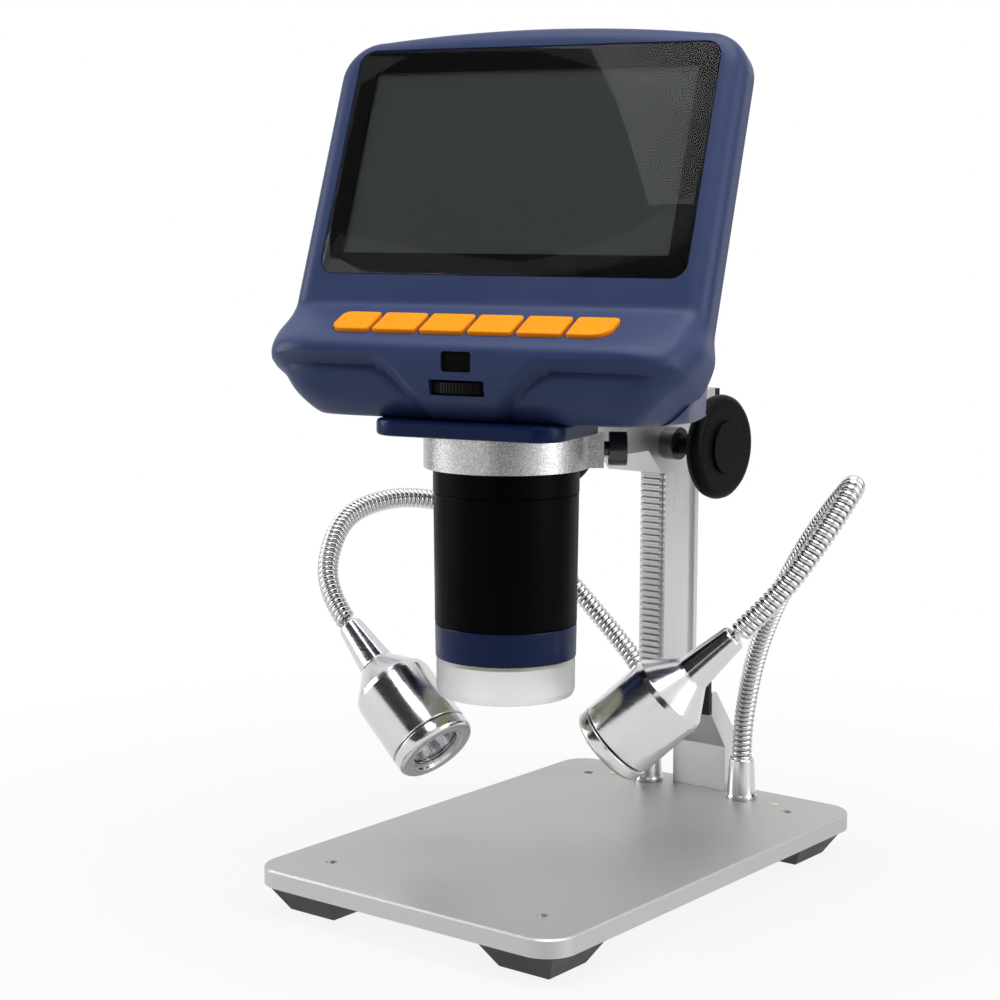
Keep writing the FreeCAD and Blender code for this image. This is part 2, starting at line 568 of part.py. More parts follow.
def faced(name, size3, at, frame=None):
    """A box in a tilted frame, used as a cutter or a boss in the head's own frame."""
    block = doc.addObject("Part::Box", name)
    for prop, text in zip(("Length", "Width", "Height"), size3):
        bind(block, prop, text)
    low = Vector(*(size(f"({a}) - ({b}) / 2") for a, b in zip(at, size3)))
    block.Placement = (frame or FACE).multiply(Placement(low, Rotation()))
    return block


def deep(name, radius, length, at):
    """A rod that runs back from the screen, along its depth."""
    thing = doc.addObject("Part::Cylinder", name)
    bind(thing, "Radius", radius)
    bind(thing, "Height", length)
    spot = Vector(*(size(text) for text in at))
    thing.Placement = FACE.multiply(Placement(spot, Rotation(Vector(1, 0, 0), -90)))
    return thing


def tilted(depth, up):
    """A point of the side view, given by its depth behind the screen and height up it."""
    return (f"lcd_y + ({up}) * sin(tilt) + ({depth}) * cos(tilt)",
            f"lcd_z + ({up}) * cos(tilt) - ({depth}) * sin(tilt)")


def side_slab(name, corners, width):
    owner = body(name)
    drawing = sketch(owner, "YZ_Plane", name + "_side")
    outline(drawing, corners)
    pad(owner, drawing, width, both=True)
    return owner


def square_on(name, block, radius):
    """Rounds a screen-wise block's four edges that run back along its depth."""
    along = FACE.Rotation.multVec(Vector(0, 1, 0))
    return rounded(name, block, radius, lambda e: abs(abs(
        (e.Vertexes[1].Point - e.Vertexes[0].Point).normalize().dot(along)) - 1) < 1e-6)


def front_block(name):
    """The head's outline as seen square to the screen, with rounded corners."""
    return square_on(name, faced(name + "_box", ("chin_w", "140", "head_up + 74"),
                                 ("0", "20", "(head_up - 74) / 2")), "head_corner")


def common(name, a, b):
    thing = doc.addObject("Part::Common", name)
    thing.Base, thing.Tool = a, b
    return thing


wall = "shell_wall"
post_spots = [(sx + "(head_w / 2 - 4)", z) for sx in ("-", "") for z in ("28", "-35")]
front_outer = side_slab("FrontOuter", [
    tilted("0", "head_up"), tilted("0", "-head_down"), ("nose_y", "nose_z"), ("lip_y", "lip_z"),
    ("chin_y", "chin_low"), ("seam_low_y", "chin_low"), tilted("shell_depth", "head_up - 0.6")],
    "chin_w")
front_inner = side_slab("FrontInner", [
    tilted(wall, f"head_up - {wall}"), tilted(wall, "-head_down"),
    (f"nose_y + {wall} * 1.5", f"nose_z - {wall}"), (f"lip_y + {wall}", f"lip_z + 0.5"),
    (f"chin_y + {wall} * 0.7", f"chin_low + {wall}"), ("seam_low_y + 3", f"chin_low + {wall}"),
    tilted("shell_depth + 3", f"head_up - 0.6 - {wall}")], f"head_w - 2 * {wall}")
posts = [deep(f"case_post_{n}", "2.6", "shell_depth - shell_wall / 2 - 0.1", (x, "shell_wall / 2", z))
         for n, (x, z) in enumerate(post_spots)]
post_holes = [deep(f"case_hole_{n}", "1.25 + fit_gap", "12", (x, "shell_depth - 8", z))
              for n, (x, z) in enumerate(post_spots)]
key_mid = [f"({n} - 2.5) * key_pitch" for n in range(6)]
key_slots = [faced(f"key_slot_{n}", ("key_w + 2 * key_gap", "key_d + 2 * key_gap", "12"),
                   (x, "0", "0"), LEDGE) for n, x in enumerate(key_mid)]
openings = [
    square_on("glass_pocket", faced(
        "pocket_block", ("glass_w + 0.2", "2 * (glass_sink + glass_t + 0.02)", "glass_h + 0.2"),
        ("0", "0", "0")), "glass_corner"),
    faced("lcd_window", ("lcd_active_w + 2", "20", "lcd_active_h + 2"), ("0", "0", "0")),
    box("wheel_slot", ("wheel_slot_w", "8", "wheel_slot_h"),
        ("0", "lip_y", "wheel_z - wheel_slot_h / 2")),
    box("ir_hole", ("ir_w + 0.1", "8", "ir_h + 0.1"), ("0", "lip_y", "ir_z - ir_h / 2 - 0.05")),
]
neck_hole = rod("neck_hole_front", "tube_r - 0.4", "20", ("0", "0", "chin_low - 5"))
shell = cut("FrontHollow", common("FrontForm", front_outer, front_block("front_limit")),
            [front_inner])
shell = cut("FrontShell", joined("FrontPosts", [shell] + posts),
            openings + key_slots + post_holes + [neck_hole])
stood("front_shell", shell)

rear_outer = side_slab("RearOuter", [
    tilted("shell_depth", "head_up - 0.6"), ("seam_low_y", "chin_low"), ("rear_low_y", "chin_low"),
    tilted("rear_top_depth", "33")], "head_w")
rear_inner = side_slab("RearInner", [
    tilted("shell_depth - 5", f"head_up - 0.6 - {wall}"), ("seam_low_y - 5", f"chin_low + {wall}"),
    (f"rear_low_y - {wall}", f"chin_low + {wall}"), tilted(f"rear_top_depth - {wall}", f"33 - {wall}")],
    f"head_w - 2 * {wall}")
rear_form = common("RearForm", rear_outer, front_block("rear_limit"))
bosses = [deep(f"rear_boss_{n}", "4", "40", (x, "shell_depth", z)) for n, (x, z) in enumerate(post_spots)]
bosses = common("RearBosses", joined("rear_boss_set", bosses), rear_outer)
sinks = [deep(f"rear_sink_{n}", "2.8", "60", (x, "shell_depth + 2.4", z))
         for n, (x, z) in enumerate(post_spots)]
drills = [deep(f"rear_drill_{n}", "1.25 + fit_gap", "12", (x, "shell_depth - 6", z))
          for n, (x, z) in enumerate(post_spots)]
neck_hole = rod("neck_hole_rear", "tube_r - 0.4", "20", ("0", "0", "chin_low - 5"))
usb_hole = box("usb_hole", ("12", "usb_w + 0.1", "usb_h + 0.1"),
               ("-head_w / 2", "19", "lcd_z - 25.05"))
card_hole = box("card_hole", ("12", "12.1", "1.7"), ("-head_w / 2", "17", "lcd_z - 35.05"))
shell = joined("RearBossed", [cut("RearHollow", rear_form, [rear_inner]), bosses])
stood("rear_shell", cut("RearShell", shell, sinks + drills + [neck_hole, usb_hole, card_hole]))
sockets = [cut("usb_shell", box("usb_can", ("7", "usb_w", "usb_h"),
                                ("-head_w / 2 + 3.7", "19", "lcd_z - 25")),
               [box("usb_mouth", ("10", "usb_w - 0.8", "usb_h - 0.8"),
                    ("-head_w / 2 + 0.7", "19", "lcd_z - 24.6"))]),
           box("card_slot", ("6", "12", "1.6"), ("-head_w / 2 + 4", "17", "lcd_z - 35"))]
stood("side_sockets", group("Sockets", sockets))
screws = []
for n, (x, z) in enumerate(post_spots):
    shank = deep(f"case_shank_{n}", "1.25", "9", (x, "shell_depth - 6.6", z))
    head = deep(f"case_head_{n}", "2.4", "1.4", (x, "shell_depth + 2.4", z))
    screws.append(joined(f"case_screw_{n}", [shank, head]))
stood("case_screws", group("CaseScrews", screws))

# Screen
stood("cover_glass", square_on("CoverGlass", faced(
    "glass_blank", ("glass_w", "glass_t", "glass_h"), ("0", "glass_sink + glass_t / 2", "0")),
    "glass_corner"))
panel = faced("lcd_blank", ("lcd_w", "lcd_t", "lcd_h"), ("0", "shell_wall + lcd_t / 2 + 0.02", "0"))
lens = faced("lcd_active", ("lcd_active_w", "shell_wall - glass_sink - glass_t - 0.1", "lcd_active_h"),
             ("0", "(shell_wall + glass_sink + glass_t) / 2 + 0.04", "0"))
stood("lcd_panel", joined("LcdPanel", [panel, lens]))
board = faced("board_blank", ("board_w", "board_t", "board_h"), ("0", "board_depth + board_t / 2", "0"))
stands = [deep(f"board_stand_{n}", "2", "board_depth - shell_wall - lcd_t - 0.02",
               (sx + "44", "shell_wall + lcd_t + 0.02", z))
          for n, (sx, z) in enumerate((sx, z) for sx in ("-", "") for z in ("-26", "26"))]
stood("main_board", joined("MainBoard", [board] + stands))

# Keys on the ledge, and the small boards under the keys and the thumbwheel
for n, x in enumerate(key_mid):
    cap = faced(f"KeyCap{n}", ("key_w", "key_d", "key_t"), (x, "0", "key_out - key_t / 2"), LEDGE)
    stem = faced(f"KeyStem{n}", ("4", "4", "1"), (x, "0", "key_out - key_t - 0.5"), LEDGE)
    stood(f"key_{n + 1}", joined(f"Key{n}", [cap, stem]))
key_base = faced("key_board_blank", ("6 * key_pitch + 8", "8", "1.2"), ("0", "0", "-4.6"), LEDGE)
switches = [faced(f"switch_{n}", ("5", "5", "1.5 - key_travel"),
                  (x, "0", "-4 + (1.5 - key_travel) / 2"), LEDGE) for n, x in enumerate(key_mid)]
stands = [faced(f"key_stand_{n}", ("2", "5", "1.36"), (side + "(3 * key_pitch + 2)", "0", "-3.32"), LEDGE)
          for n, side in enumerate(("-", ""))]
dimmer = cut("dimmer", box("dimmer_block", ("11", "4.2", "wheel_z - wheel_t / 2 - 0.25 - chin_low - shell_wall"),
                           ("0", "lip_y - wheel_out + wheel_r", "chin_low + shell_wall")),
             [rod("dimmer_bore", "1.1", "20", ("0", "lip_y - wheel_out + wheel_r", "chin_low"))])
stood("control_boards", group("ControlBoards", [
    joined("KeyBoard", [key_base] + switches + stands), dimmer]))
stood("ir_window", box("IrWindow", ("ir_w", "ir_t", "ir_h"),
                       ("0", "lip_y + ir_t / 2 - 0.1", "ir_z - ir_h / 2")))
wheel_y = "lip_y - wheel_out + wheel_r"
wheel = rod("wheel_disc", "wheel_r", "wheel_t", ("0", wheel_y, "wheel_z - wheel_t / 2"))
axle = rod("wheel_axle", "1", "wheel_t / 2 + 4.5", ("0", wheel_y, "wheel_z - wheel_t / 2 - 4"))
stood("thumbwheel", joined("Thumbwheel", [wheel, axle]))

# Flange under the head: straight in front, round behind
front_part = box("flange_front_block", ("flange_w", "flange_front", "flange_t"),
                 ("0", "-flange_front / 2", "chin_low - flange_t"))
front_part = rounded("flange_front_round", front_part, "flange_corner",
                     lambda e: upright(e) and e.Vertexes[0].Point.y < -1)
back_part = rod("flange_back_disc", "flange_back_r", "flange_t", ("0", "0", "chin_low - flange_t"))
hole = rod("flange_bore", "tube_r - 0.6 + fit_gap", "30", ("0", "0", "chin_low - 15"))
stood("head_flange", cut("Flange", joined("flange_blank", [front_part, back_part]), [hole]))

# Barrel: fixed tube with its neck, the turning grip, the lower band and the clear skirt
stood("barrel_body", turned("BarrelBody", [
    ("tube_bore", "band_low + 0.9"), ("tube_r", "band_low + 0.9"), ("tube_r", "collar_low"),
    ("collar_r", "collar_low"), ("collar_r", "ring_low - ring_gap"), ("neck_r", "ring_low - ring_gap"),
    ("neck_r", "chin_low - flange_t - 0.05"), ("tube_r - 0.6", "chin_low - flange_t - 0.05"),
    ("tube_r - 0.6", "chin_low + shell_wall + 0.8"), ("tube_bore", "chin_low + shell_wall + 0.8")]))
stood("barrel_band", turned("BarrelBand", [
    ("tube_r + fit_gap", "band_low"), ("band_r - 0.15", "band_low"), ("band_r", "grip_low - 0.1"),
    ("tube_r + fit_gap", "grip_low - 0.1")]))
stood("diffuser_skirt", turned("Skirt", [
    ("skirt_r - skirt_wall", "skirt_low"), ("skirt_r - 0.35", "skirt_low"), ("skirt_r", "band_low"),
    ("skirt_r - skirt_wall", "band_low")]))
stood("led_ring_board", turned("LedRing", [
    ("lens_r - 3", "band_low - led_board_t"), ("skirt_r - skirt_wall - fit_gap", "band_low - led_board_t"),
    ("skirt_r - skirt_wall - fit_gap", "band_low"), ("lens_r - 3", "band_low")]))
stood("front_glass", rod("FrontGlass", "lens_r", "front_glass_t", ("0", "0", "band_low")))
stood("sensor_board", box("SensorBoard", ("34", "34", "1.4"), ("0", "0", "chin_low + shell_wall + 0.8")))
stood("focus_sleeve", turned("FocusSleeve", [
    ("tube_r + sleeve_gap", "grip_low"), ("band_r", "grip_low"), ("collar_r - 0.1", "collar_low - 0.1"),
    ("tube_r + sleeve_gap", "collar_low - 0.1")]))
carrier_r = "tube_bore - sleeve_gap"
stood("lens_carrier", turned("LensCarrier", [
    ("0", "lens_z - 1.6"), ("lens_r", "lens_z - 1.6"), ("lens_r", "lens_z - lens_high / 2"),
    (carrier_r, "lens_z - lens_high / 2"), (carrier_r, "lens_z + lens_high / 2"),
    ("lens_r", "lens_z + lens_high / 2"), ("lens_r", "lens_z + 1.6"), ("0", "lens_z + 1.6")]))

# Gooseneck lamps. Each hose is a chain of straight runs joined by tangent arcs; the points
# are the hose's middle line above the plate, from the ferrule to the lamp's neck.
ROUTES = {
    "left": [(-17.2, 66.3, 1.2), (-17.2, 66.3, 19.5), (-21.6, 70.9, 33.0), (-35.7, 69.1, 47.5),
             (-50.9, 60.0, 67.8), (-65.4, 43.1, 83.6), (-75.6, 21.1, 90.9), (-78.8, -0.4, 89.6),
             (-75.0, -16.7, 83.9), (-67.4, -29.9, 69.3), (-56.8, -31.2, 60.5)],
    "right": [(17.2, 66.3, 1.2), (17.2, 66.3, 19.5), (20.7, 63.4, 33.5), (27.0, 58.1, 48.9),
              (38.1, 50.4, 66.9), (53.1, 40.2, 84.9), (68.4, 30.6, 99.9), (79.6, 22.2, 108.3),
              (74.6, 11.2, 92.6), (65.2, 3.4, 75.8), (56.4, -0.7, 66.6)],
}
SPLIT_AFTER = 5


def vectors(points):
    return [Vector(x, y, z + size("plate_top")) for x, y, z in points]


def swept(points, radius):
    """A round rod along straight runs joined by the largest arcs they allow."""
    edges, last = [], points[0]
    for before, here, after in zip(points, points[1:], points[2:]):
        back, ahead = before - here, after - here
        half = (math.pi - back.getAngle(ahead)) / 2
        reach = 0.45 * min(back.Length, ahead.Length)
        back, ahead = back.normalize(), ahead.normalize()
        start, end = here + back * reach, here + ahead * reach
        bend = reach / math.tan(half)
        centre = here + (back + ahead).normalize() * (bend / math.cos(half))
        middle = centre + (here - centre).normalize() * bend
        edges += [Part.LineSegment(last, start).toShape(), Part.Arc(start, middle, end).toShape()]
        last = end
    edges.append(Part.LineSegment(last, points[-1]).toShape())
    path = Part.Wire(edges)
    section = Part.Wire(Part.makeCircle(radius, points[0], points[1] - points[0]))
    tube = path.makePipeShell([section], True, False)
    if tube.Volume < 0:
        tube.reverse()
    drift = abs(tube.Volume / (math.pi * radius ** 2 * path.Length) - 1)
    if not tube.isValid() or drift > 0.01:
        raise RuntimeError(f"hose sweep is off by {drift:.3f}")
    return tube


def feature(name, shape):
    thing = doc.addObject("Part::Feature", name.title().replace("_", ""))
    thing.Shape = shape
    return keep(name, thing)


ferrules = []
for side, sign in (("left", "-"), ("right", "")):
    route = vectors(ROUTES[side])
    hose_r, ball, gap, cut_back = size("hose_r"), size("ball_r"), size("ball_gap"), size("hose_cut")
    a, b = route[SPLIT_AFTER], route[SPLIT_AFTER + 1]
    split, run = (a + b) / 2, (b - a).normalize()
    neck, aim = route[-1], (route[-1] - route[-2]).normalize()
    lower = swept(route[:SPLIT_AFTER + 1] + [split - run * cut_back], hose_r)
    lower = lower.cut(Part.makeSphere(ball + gap, split))
    upper = swept([split + run * cut_back] + route[SPLIT_AFTER + 1:-1] + [neck - aim * cut_back], hose_r)
    upper = upper.fuse(Part.makeSphere(ball, split)).cut(Part.makeSphere(ball + gap, neck))
    feature(f"hose_lower_{side}", lower)
    feature(f"hose_upper_{side}", upper.removeSplitter())
    ferrules.append(turned(f"ferrule_{side}", [
        ("0", "-plate_t"), ("ferrule_spigot", "-plate_t"), ("ferrule_spigot", "0"),
        ("ferrule_r", "0"), ("ferrule_top_r", "ferrule_high"), ("hose_r + fit_gap", "ferrule_high"),
        ("hose_r + fit_gap", "1"), ("0", "1")], (sign + "ferrule_x", "ferrule_y", "plate_top")))
    lamp = Placement(neck, Rotation(Vector(0, 0, 1), aim))
    shoulder = "lamp_neck_len + shoulder_len"
    rim = f"({shoulder} + lamp_len)"
    front = f"({rim} + bezel_len)"
    shell = turned(f"lamp_shell_{side}", [
        ("0", "hose_cut"), ("lamp_neck_r", "hose_cut"), ("lamp_neck_low_r", "lamp_neck_len"),
        ("lamp_r", shoulder), ("lamp_r", rim), ("lamp_r - lamp_wall", rim),
        ("lamp_r - lamp_wall", f"{rim} - 10"), ("0", f"{rim} - 10")])
    knuckle = doc.addObject("Part::Sphere", f"knuckle_{side}")
    bind(knuckle, "Radius", "ball_r")
    whole = joined(f"LampBody{side.title()}", [shell, knuckle])
    keep(f"lamp_body_{side}", carried(whole, lamp))
    bezel = turned(f"bezel_{side}", [
        ("lamp_lens_r + fit_gap", rim), ("lamp_r", rim), ("lamp_r", f"{front} - 1"),
        ("lamp_r - 1", front), ("lamp_lens_r + 0.5", front),
        ("lamp_lens_r - 0.6", f"{front} - lamp_lens_sink + 0.4"),
        ("lamp_lens_r - 0.6", f"{front} - lamp_lens_sink"),
        ("lamp_lens_r + fit_gap", f"{front} - lamp_lens_sink")])
    keep(f"lamp_bezel_{side}", carried(bezel, lamp))
    keep(f"lamp_lens_{side}", carried(rod(
        f"LampLens{side.title()}", "lamp_lens_r", "lamp_lens_t",
        ("0", "0", f"{front} - lamp_lens_sink - lamp_lens_t")), lamp))
    keep(f"lamp_led_{side}", carried(rod(
        f"LampLed{side.title()}", "lamp_r - lamp_wall - fit_gap", "led_t",
        ("0", "0", f"{rim} - 10")), lamp))
keep("lamp_ferrules", group("Ferrules", ferrules))

# Power box for the lamps, under the back of the plate
can = box("power_can", ("box_w", "box_d", "box_h"), ("0", "55", "foot_high - box_h"))
room = box("power_room", ("box_w - 2 * box_wall", "box_d - 2 * box_wall", "box_h"),
           ("0", "55", "foot_high - box_h + box_wall"))
mouth = rod("power_mouth", "socket_r", "8", ("0", "55 + box_d / 2 - 5", "foot_high - box_h / 2"), "Y")
jack = cut("power_jack", box("jack_block", ("7", "9", "box_h - box_wall - 0.1"),
                             ("0", "55 + box_d / 2 - box_wall - 4.5", "foot_high - box_h + box_wall")),
           [rod("jack_bore", "socket_r - 0.6", "9",
                ("0", "55 + box_d / 2 - box_wall - 7", "foot_high - box_h / 2"), "Y")])
keep("lamp_power_box", group("PowerBox", [cut("PowerCan", can, [room, mouth]), jack]))

# Every object is sound before anything is written
doc.recompute()
for thing in doc.Objects:
    if any(word in ("Invalid", "Error") for word in thing.State):
        raise RuntimeError(f"{thing.Name} failed: {thing.State}")
for name, thing in PARTS.items():
    if thing.Shape.isNull() or not thing.Shape.isValid() or thing.Shape.Volume <= 0:
        raise RuntimeError(f"{name} has no sound shape")
os.makedirs("parts", exist_ok=True)
for name, thing in PARTS.items():
    thing.Shape.exportStep(f"parts/{name}.step")
print(len(PARTS), "sub-parts")
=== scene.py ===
"""Looks of a desktop digital microscope with a tilted screen, a rack mast and two gooseneck lamps."""

import json
import math

import bpy
import numpy as np
from mathutils import Matrix, Vector

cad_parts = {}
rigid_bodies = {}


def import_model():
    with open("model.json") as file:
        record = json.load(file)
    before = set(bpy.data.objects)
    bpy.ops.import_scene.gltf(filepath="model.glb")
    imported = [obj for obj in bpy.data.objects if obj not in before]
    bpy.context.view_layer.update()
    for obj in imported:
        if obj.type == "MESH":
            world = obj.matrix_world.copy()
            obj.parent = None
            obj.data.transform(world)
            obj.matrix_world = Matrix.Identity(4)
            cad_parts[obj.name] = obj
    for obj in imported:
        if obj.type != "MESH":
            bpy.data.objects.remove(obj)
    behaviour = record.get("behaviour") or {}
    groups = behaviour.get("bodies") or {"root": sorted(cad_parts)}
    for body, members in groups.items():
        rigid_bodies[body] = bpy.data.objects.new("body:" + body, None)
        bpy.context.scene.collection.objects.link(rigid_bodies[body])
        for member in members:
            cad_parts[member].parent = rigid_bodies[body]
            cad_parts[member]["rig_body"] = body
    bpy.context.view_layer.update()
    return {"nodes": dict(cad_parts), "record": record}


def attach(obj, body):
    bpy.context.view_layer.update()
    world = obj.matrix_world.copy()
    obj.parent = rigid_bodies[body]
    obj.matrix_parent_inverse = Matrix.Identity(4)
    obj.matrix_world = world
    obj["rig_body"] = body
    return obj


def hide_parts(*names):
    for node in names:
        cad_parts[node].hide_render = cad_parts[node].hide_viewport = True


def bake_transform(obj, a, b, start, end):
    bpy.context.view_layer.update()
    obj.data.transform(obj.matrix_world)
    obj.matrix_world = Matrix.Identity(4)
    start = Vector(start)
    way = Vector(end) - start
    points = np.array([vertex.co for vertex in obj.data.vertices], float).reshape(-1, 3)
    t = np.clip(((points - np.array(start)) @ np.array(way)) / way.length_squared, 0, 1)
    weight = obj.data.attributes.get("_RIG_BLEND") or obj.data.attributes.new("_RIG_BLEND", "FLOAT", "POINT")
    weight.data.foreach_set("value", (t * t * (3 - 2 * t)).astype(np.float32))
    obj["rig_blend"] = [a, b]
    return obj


bl_info = {
    "name": "Digital microscope looks",
    "version": (1, 0, 0),
    "blender": (4, 5, 0),
    "location": "View3D > Sidebar > Microscope",
    "description": "Dresses the packed microscope with moulded, turned and wound pieces",
    "category": "Object",
}

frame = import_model()
NODES = frame["nodes"]
MM = 0.001
SIDES = ("left", "right")

# Places of the moulded head, in millimetres. Its own frame has X across, Y back and Z up.
PLATE_TOP = 13.0
BARREL_Y = -29.7
HEAD_YAW = math.radians(13.4)
SCREEN_LEAN = math.radians(23.5)
SCREEN_MIDDLE = (5.47, 192.4)
LEDGE_MIDDLE, LEDGE_SLOPE = (-21.9, 149.05), math.radians(22.7)
UNDERSIDE = 124.4
SEAM_DEPTH = 10.0
REAR_RIM = 14.5
NOSE_ROUND = 18.0
GROOVE_DEEP = 0.9

# Where the front bends, in millimetres below the screen's middle, and how steeply it runs on from there.
LEDGE_DOWN, LEDGE_OUT = 42.5, -0.957
NOSE_DOWN, NOSE_BACK = 58.8, 1.473
CHIN_DOWN, CHIN_BACK = 71.0, 1.43
FOLD_DOWN, FOLD_ACROSS, FOLD_CORNER = 61.4, 18.8, 64.3

KEY_PITCH = 13.8
WHEEL_AT = (-22.2, 133.6)
WINDOW_UP = 140.4
CHIN_OPENING_Y = -36.5
NECK_RADIUS = 17.2
CASE_LOW = -75.0
CASE_SCREWS = ((-56.5, 28), (-56.5, -35), (56.5, 28), (56.5, -35))

HEAD = Matrix.Translation((0, BARREL_Y, PLATE_TOP)) @ Matrix.Rotation(HEAD_YAW, 4, "Z")
SCREEN = (HEAD @ Matrix.Translation((0, SCREEN_MIDDLE[0], SCREEN_MIDDLE[1]))
          @ Matrix.Rotation(-SCREEN_LEAN, 4, "X"))
LEDGE = (HEAD @ Matrix.Translation((0, LEDGE_MIDDLE[0], LEDGE_MIDDLE[1]))
         @ Matrix.Rotation(LEDGE_SLOPE, 4, "X"))
BARREL = Matrix.Translation((0, BARREL_Y, PLATE_TOP))

# Middle lines of the two wound hoses above the plate, from ferrule to lamp neck.
HOSE_ROUTES = {
    "left": [(-17.2, 66.3, 1.2), (-17.2, 66.3, 19.5), (-21.6, 70.9, 33.0), (-35.7, 69.1, 47.5),
             (-50.9, 60.0, 67.8), (-65.4, 43.1, 83.6), (-75.6, 21.1, 90.9), (-78.8, -0.4, 89.6),
             (-75.0, -16.7, 83.9), (-67.4, -29.9, 69.3), (-56.8, -31.2, 60.5)],
    "right": [(17.2, 66.3, 1.2), (17.2, 66.3, 19.5), (20.7, 63.4, 33.5), (27.0, 58.1, 48.9),
              (38.1, 50.4, 66.9), (53.1, 40.2, 84.9), (68.4, 30.6, 99.9), (79.6, 22.2, 108.3),
              (74.6, 11.2, 92.6), (65.2, 3.4, 75.8), (56.4, -0.7, 66.6)],
}
HOSE_JOINT = 5

# The chin is hollowed deeper here than in the solid, so the boards behind it are smaller.
BOARD_SHARE = 0.8

# The camera that was fitted to the photo: place in metres, turns in degrees, lens in millimetres.
CAMERA_AT = (0.35384, -0.48599, 0.19207)
CAMERA_YAW, CAMERA_DIP, CAMERA_ROLL = 37.96, 7.71, 0.14
CAMERA_LENS = 77.30


# Sizes and colours that a user may change

class ScopeSizes(bpy.types.PropertyGroup):
    """Sizes of the dressed pieces."""

    edge_round: bpy.props.FloatProperty(
        name="Case edge", description="Rounding of the screen case's edges, in millimetres",
        default=5.0, min=1.0, max=8.0)
    nose_fold: bpy.props.FloatProperty(
        name="Chin recess", description="Depth of the two hollows in the chin, in millimetres",
        default=3.0, min=0.0, max=4.0)
    coil_pitch: bpy.props.FloatProperty(
        name="Coil pitch", description="Distance from turn to turn of the wound hoses, in millimetres",
        default=1.7, min=1.0, max=3.0)
    wheel_ribs: bpy.props.IntProperty(
        name="Wheel ribs", description="Ribs round the brightness wheel", default=64, min=12, max=120)


class ScopeColours(bpy.types.PropertyGroup):
    """Colours of the finishes."""

    case: bpy.props.FloatVectorProperty(
        name="Case", description="Moulded case of the screen", subtype="COLOR",
        default=(0.026, 0.042, 0.116), min=0, max=1)
    band: bpy.props.FloatVectorProperty(
        name="Band", description="Painted ring of the barrel and plate under the case", subtype="COLOR",
        default=(0.004, 0.012, 0.058), min=0, max=1)
    key: bpy.props.FloatVectorProperty(
        name="Keys", description="Soft keys under the screen", subtype="COLOR",
        default=(1.0, 0.30, 0.004), min=0, max=1)
    metal: bpy.props.FloatVectorProperty(
        name="Aluminium", description="Blasted aluminium of the plate", subtype="COLOR",
        default=(0.45, 0.45, 0.445), min=0, max=1)


# Modelling helpers. All of them work in millimetres in a piece's own frame.

def nothing_selected():
    bpy.ops.object.select_all(action="DESELECT")


def only(piece):
    nothing_selected()
    piece.select_set(True)
    bpy.context.view_layer.objects.active = piece
    return piece


def start(name, points):
    """A ring of loose-edged points, named, ready to be filled, spun or extruded."""
    nothing_selected()
    bpy.ops.mesh.primitive_circle_add(vertices=len(points), radius=1.0, fill_type="NOTHING")
    ring = bpy.context.object
    ring.name = ring.data.name = name
    for corner, point in zip(ring.data.vertices, points):
        corner.co = point
    return ring


def tidy(merge=0.001):
    bpy.ops.mesh.select_all(action="SELECT")
    bpy.ops.mesh.remove_doubles(threshold=merge)
    bpy.ops.mesh.dissolve_degenerate(threshold=merge)
    bpy.ops.mesh.delete_loose(use_verts=True, use_edges=True, use_faces=False)
    bpy.ops.mesh.select_all(action="SELECT")
    bpy.ops.mesh.normals_make_consistent(inside=False)


def spun(name, outline, steps=96):
    """A turned piece: the closed outline of (radius, height) pairs goes once round Z."""
    piece = start(name, [(r, 0, z) for r, z in outline])
    bpy.ops.object.mode_set(mode="EDIT")
    bpy.ops.mesh.select_all(action="SELECT")
    bpy.ops.mesh.spin(steps=steps, angle=2 * math.pi, center=(0, 0, 0), axis=(0, 0, 1))
    tidy()
    bpy.ops.object.mode_set(mode="OBJECT")
    return piece


def slab(name, outline, low, high):
    """A flat piece: the closed outline of (x, y) pairs, from height low to height high."""
    piece = start(name, [(x, y, low) for x, y in outline])
    bpy.ops.object.mode_set(mode="EDIT")
    bpy.ops.mesh.select_all(action="SELECT")
    bpy.ops.mesh.edge_face_add()
    bpy.ops.mesh.extrude_region_move(TRANSFORM_OT_translate={"value": (0, 0, high - low)})
    tidy()
    bpy.ops.object.mode_set(mode="OBJECT")
    return piece


def grid(name, columns, rows, spot):
    """A sheet of columns by rows points, each put where spot says."""
    nothing_selected()
    bpy.ops.mesh.primitive_grid_add(x_subdivisions=columns - 1, y_subdivisions=rows - 1, size=1)
    sheet = bpy.context.object
    sheet.name = sheet.data.name = name
    sheet.data.vertices.foreach_set("co", spot.astype(np.float32).ravel())
    sheet.data.update()
    return sheet


def bevelled(piece, width, steps=2, angle=30):
    only(piece)
    easing = piece.modifiers.new("Edges", "BEVEL")
    easing.width, easing.segments, easing.limit_method = width, steps, "ANGLE"
    easing.angle_limit = math.radians(angle)
    easing.use_clamp_overlap = True
    bpy.ops.object.modifier_apply(modifier=easing.name)
    return piece


def carved(piece, cutters):
    """Takes the cutters out of the piece and removes them."""
    for cutter in cutters:
        only(piece)
        cut = piece.modifiers.new("Cut", "BOOLEAN")
        cut.operation, cut.solver, cut.object = "DIFFERENCE", "EXACT", cutter
        bpy.ops.object.modifier_apply(modifier=cut.name)
        bpy.data.objects.remove(cutter)
    return piece


def placed(piece, place=None, angle=32):
    """Puts a finished piece from its own frame, in millimetres, into the row frame."""
    only(piece)
    piece.matrix_world = Matrix.Scale(MM, 4) @ (place or Matrix.Identity(4)) @ piece.matrix_world
    bpy.ops.object.transform_apply(location=True, rotation=True, scale=True)
    bpy.ops.object.shade_smooth_by_angle(angle=math.radians(angle))
    return piece


def coated(piece, finish):
    piece.data.materials.clear()
    piece.data.materials.append(finish)


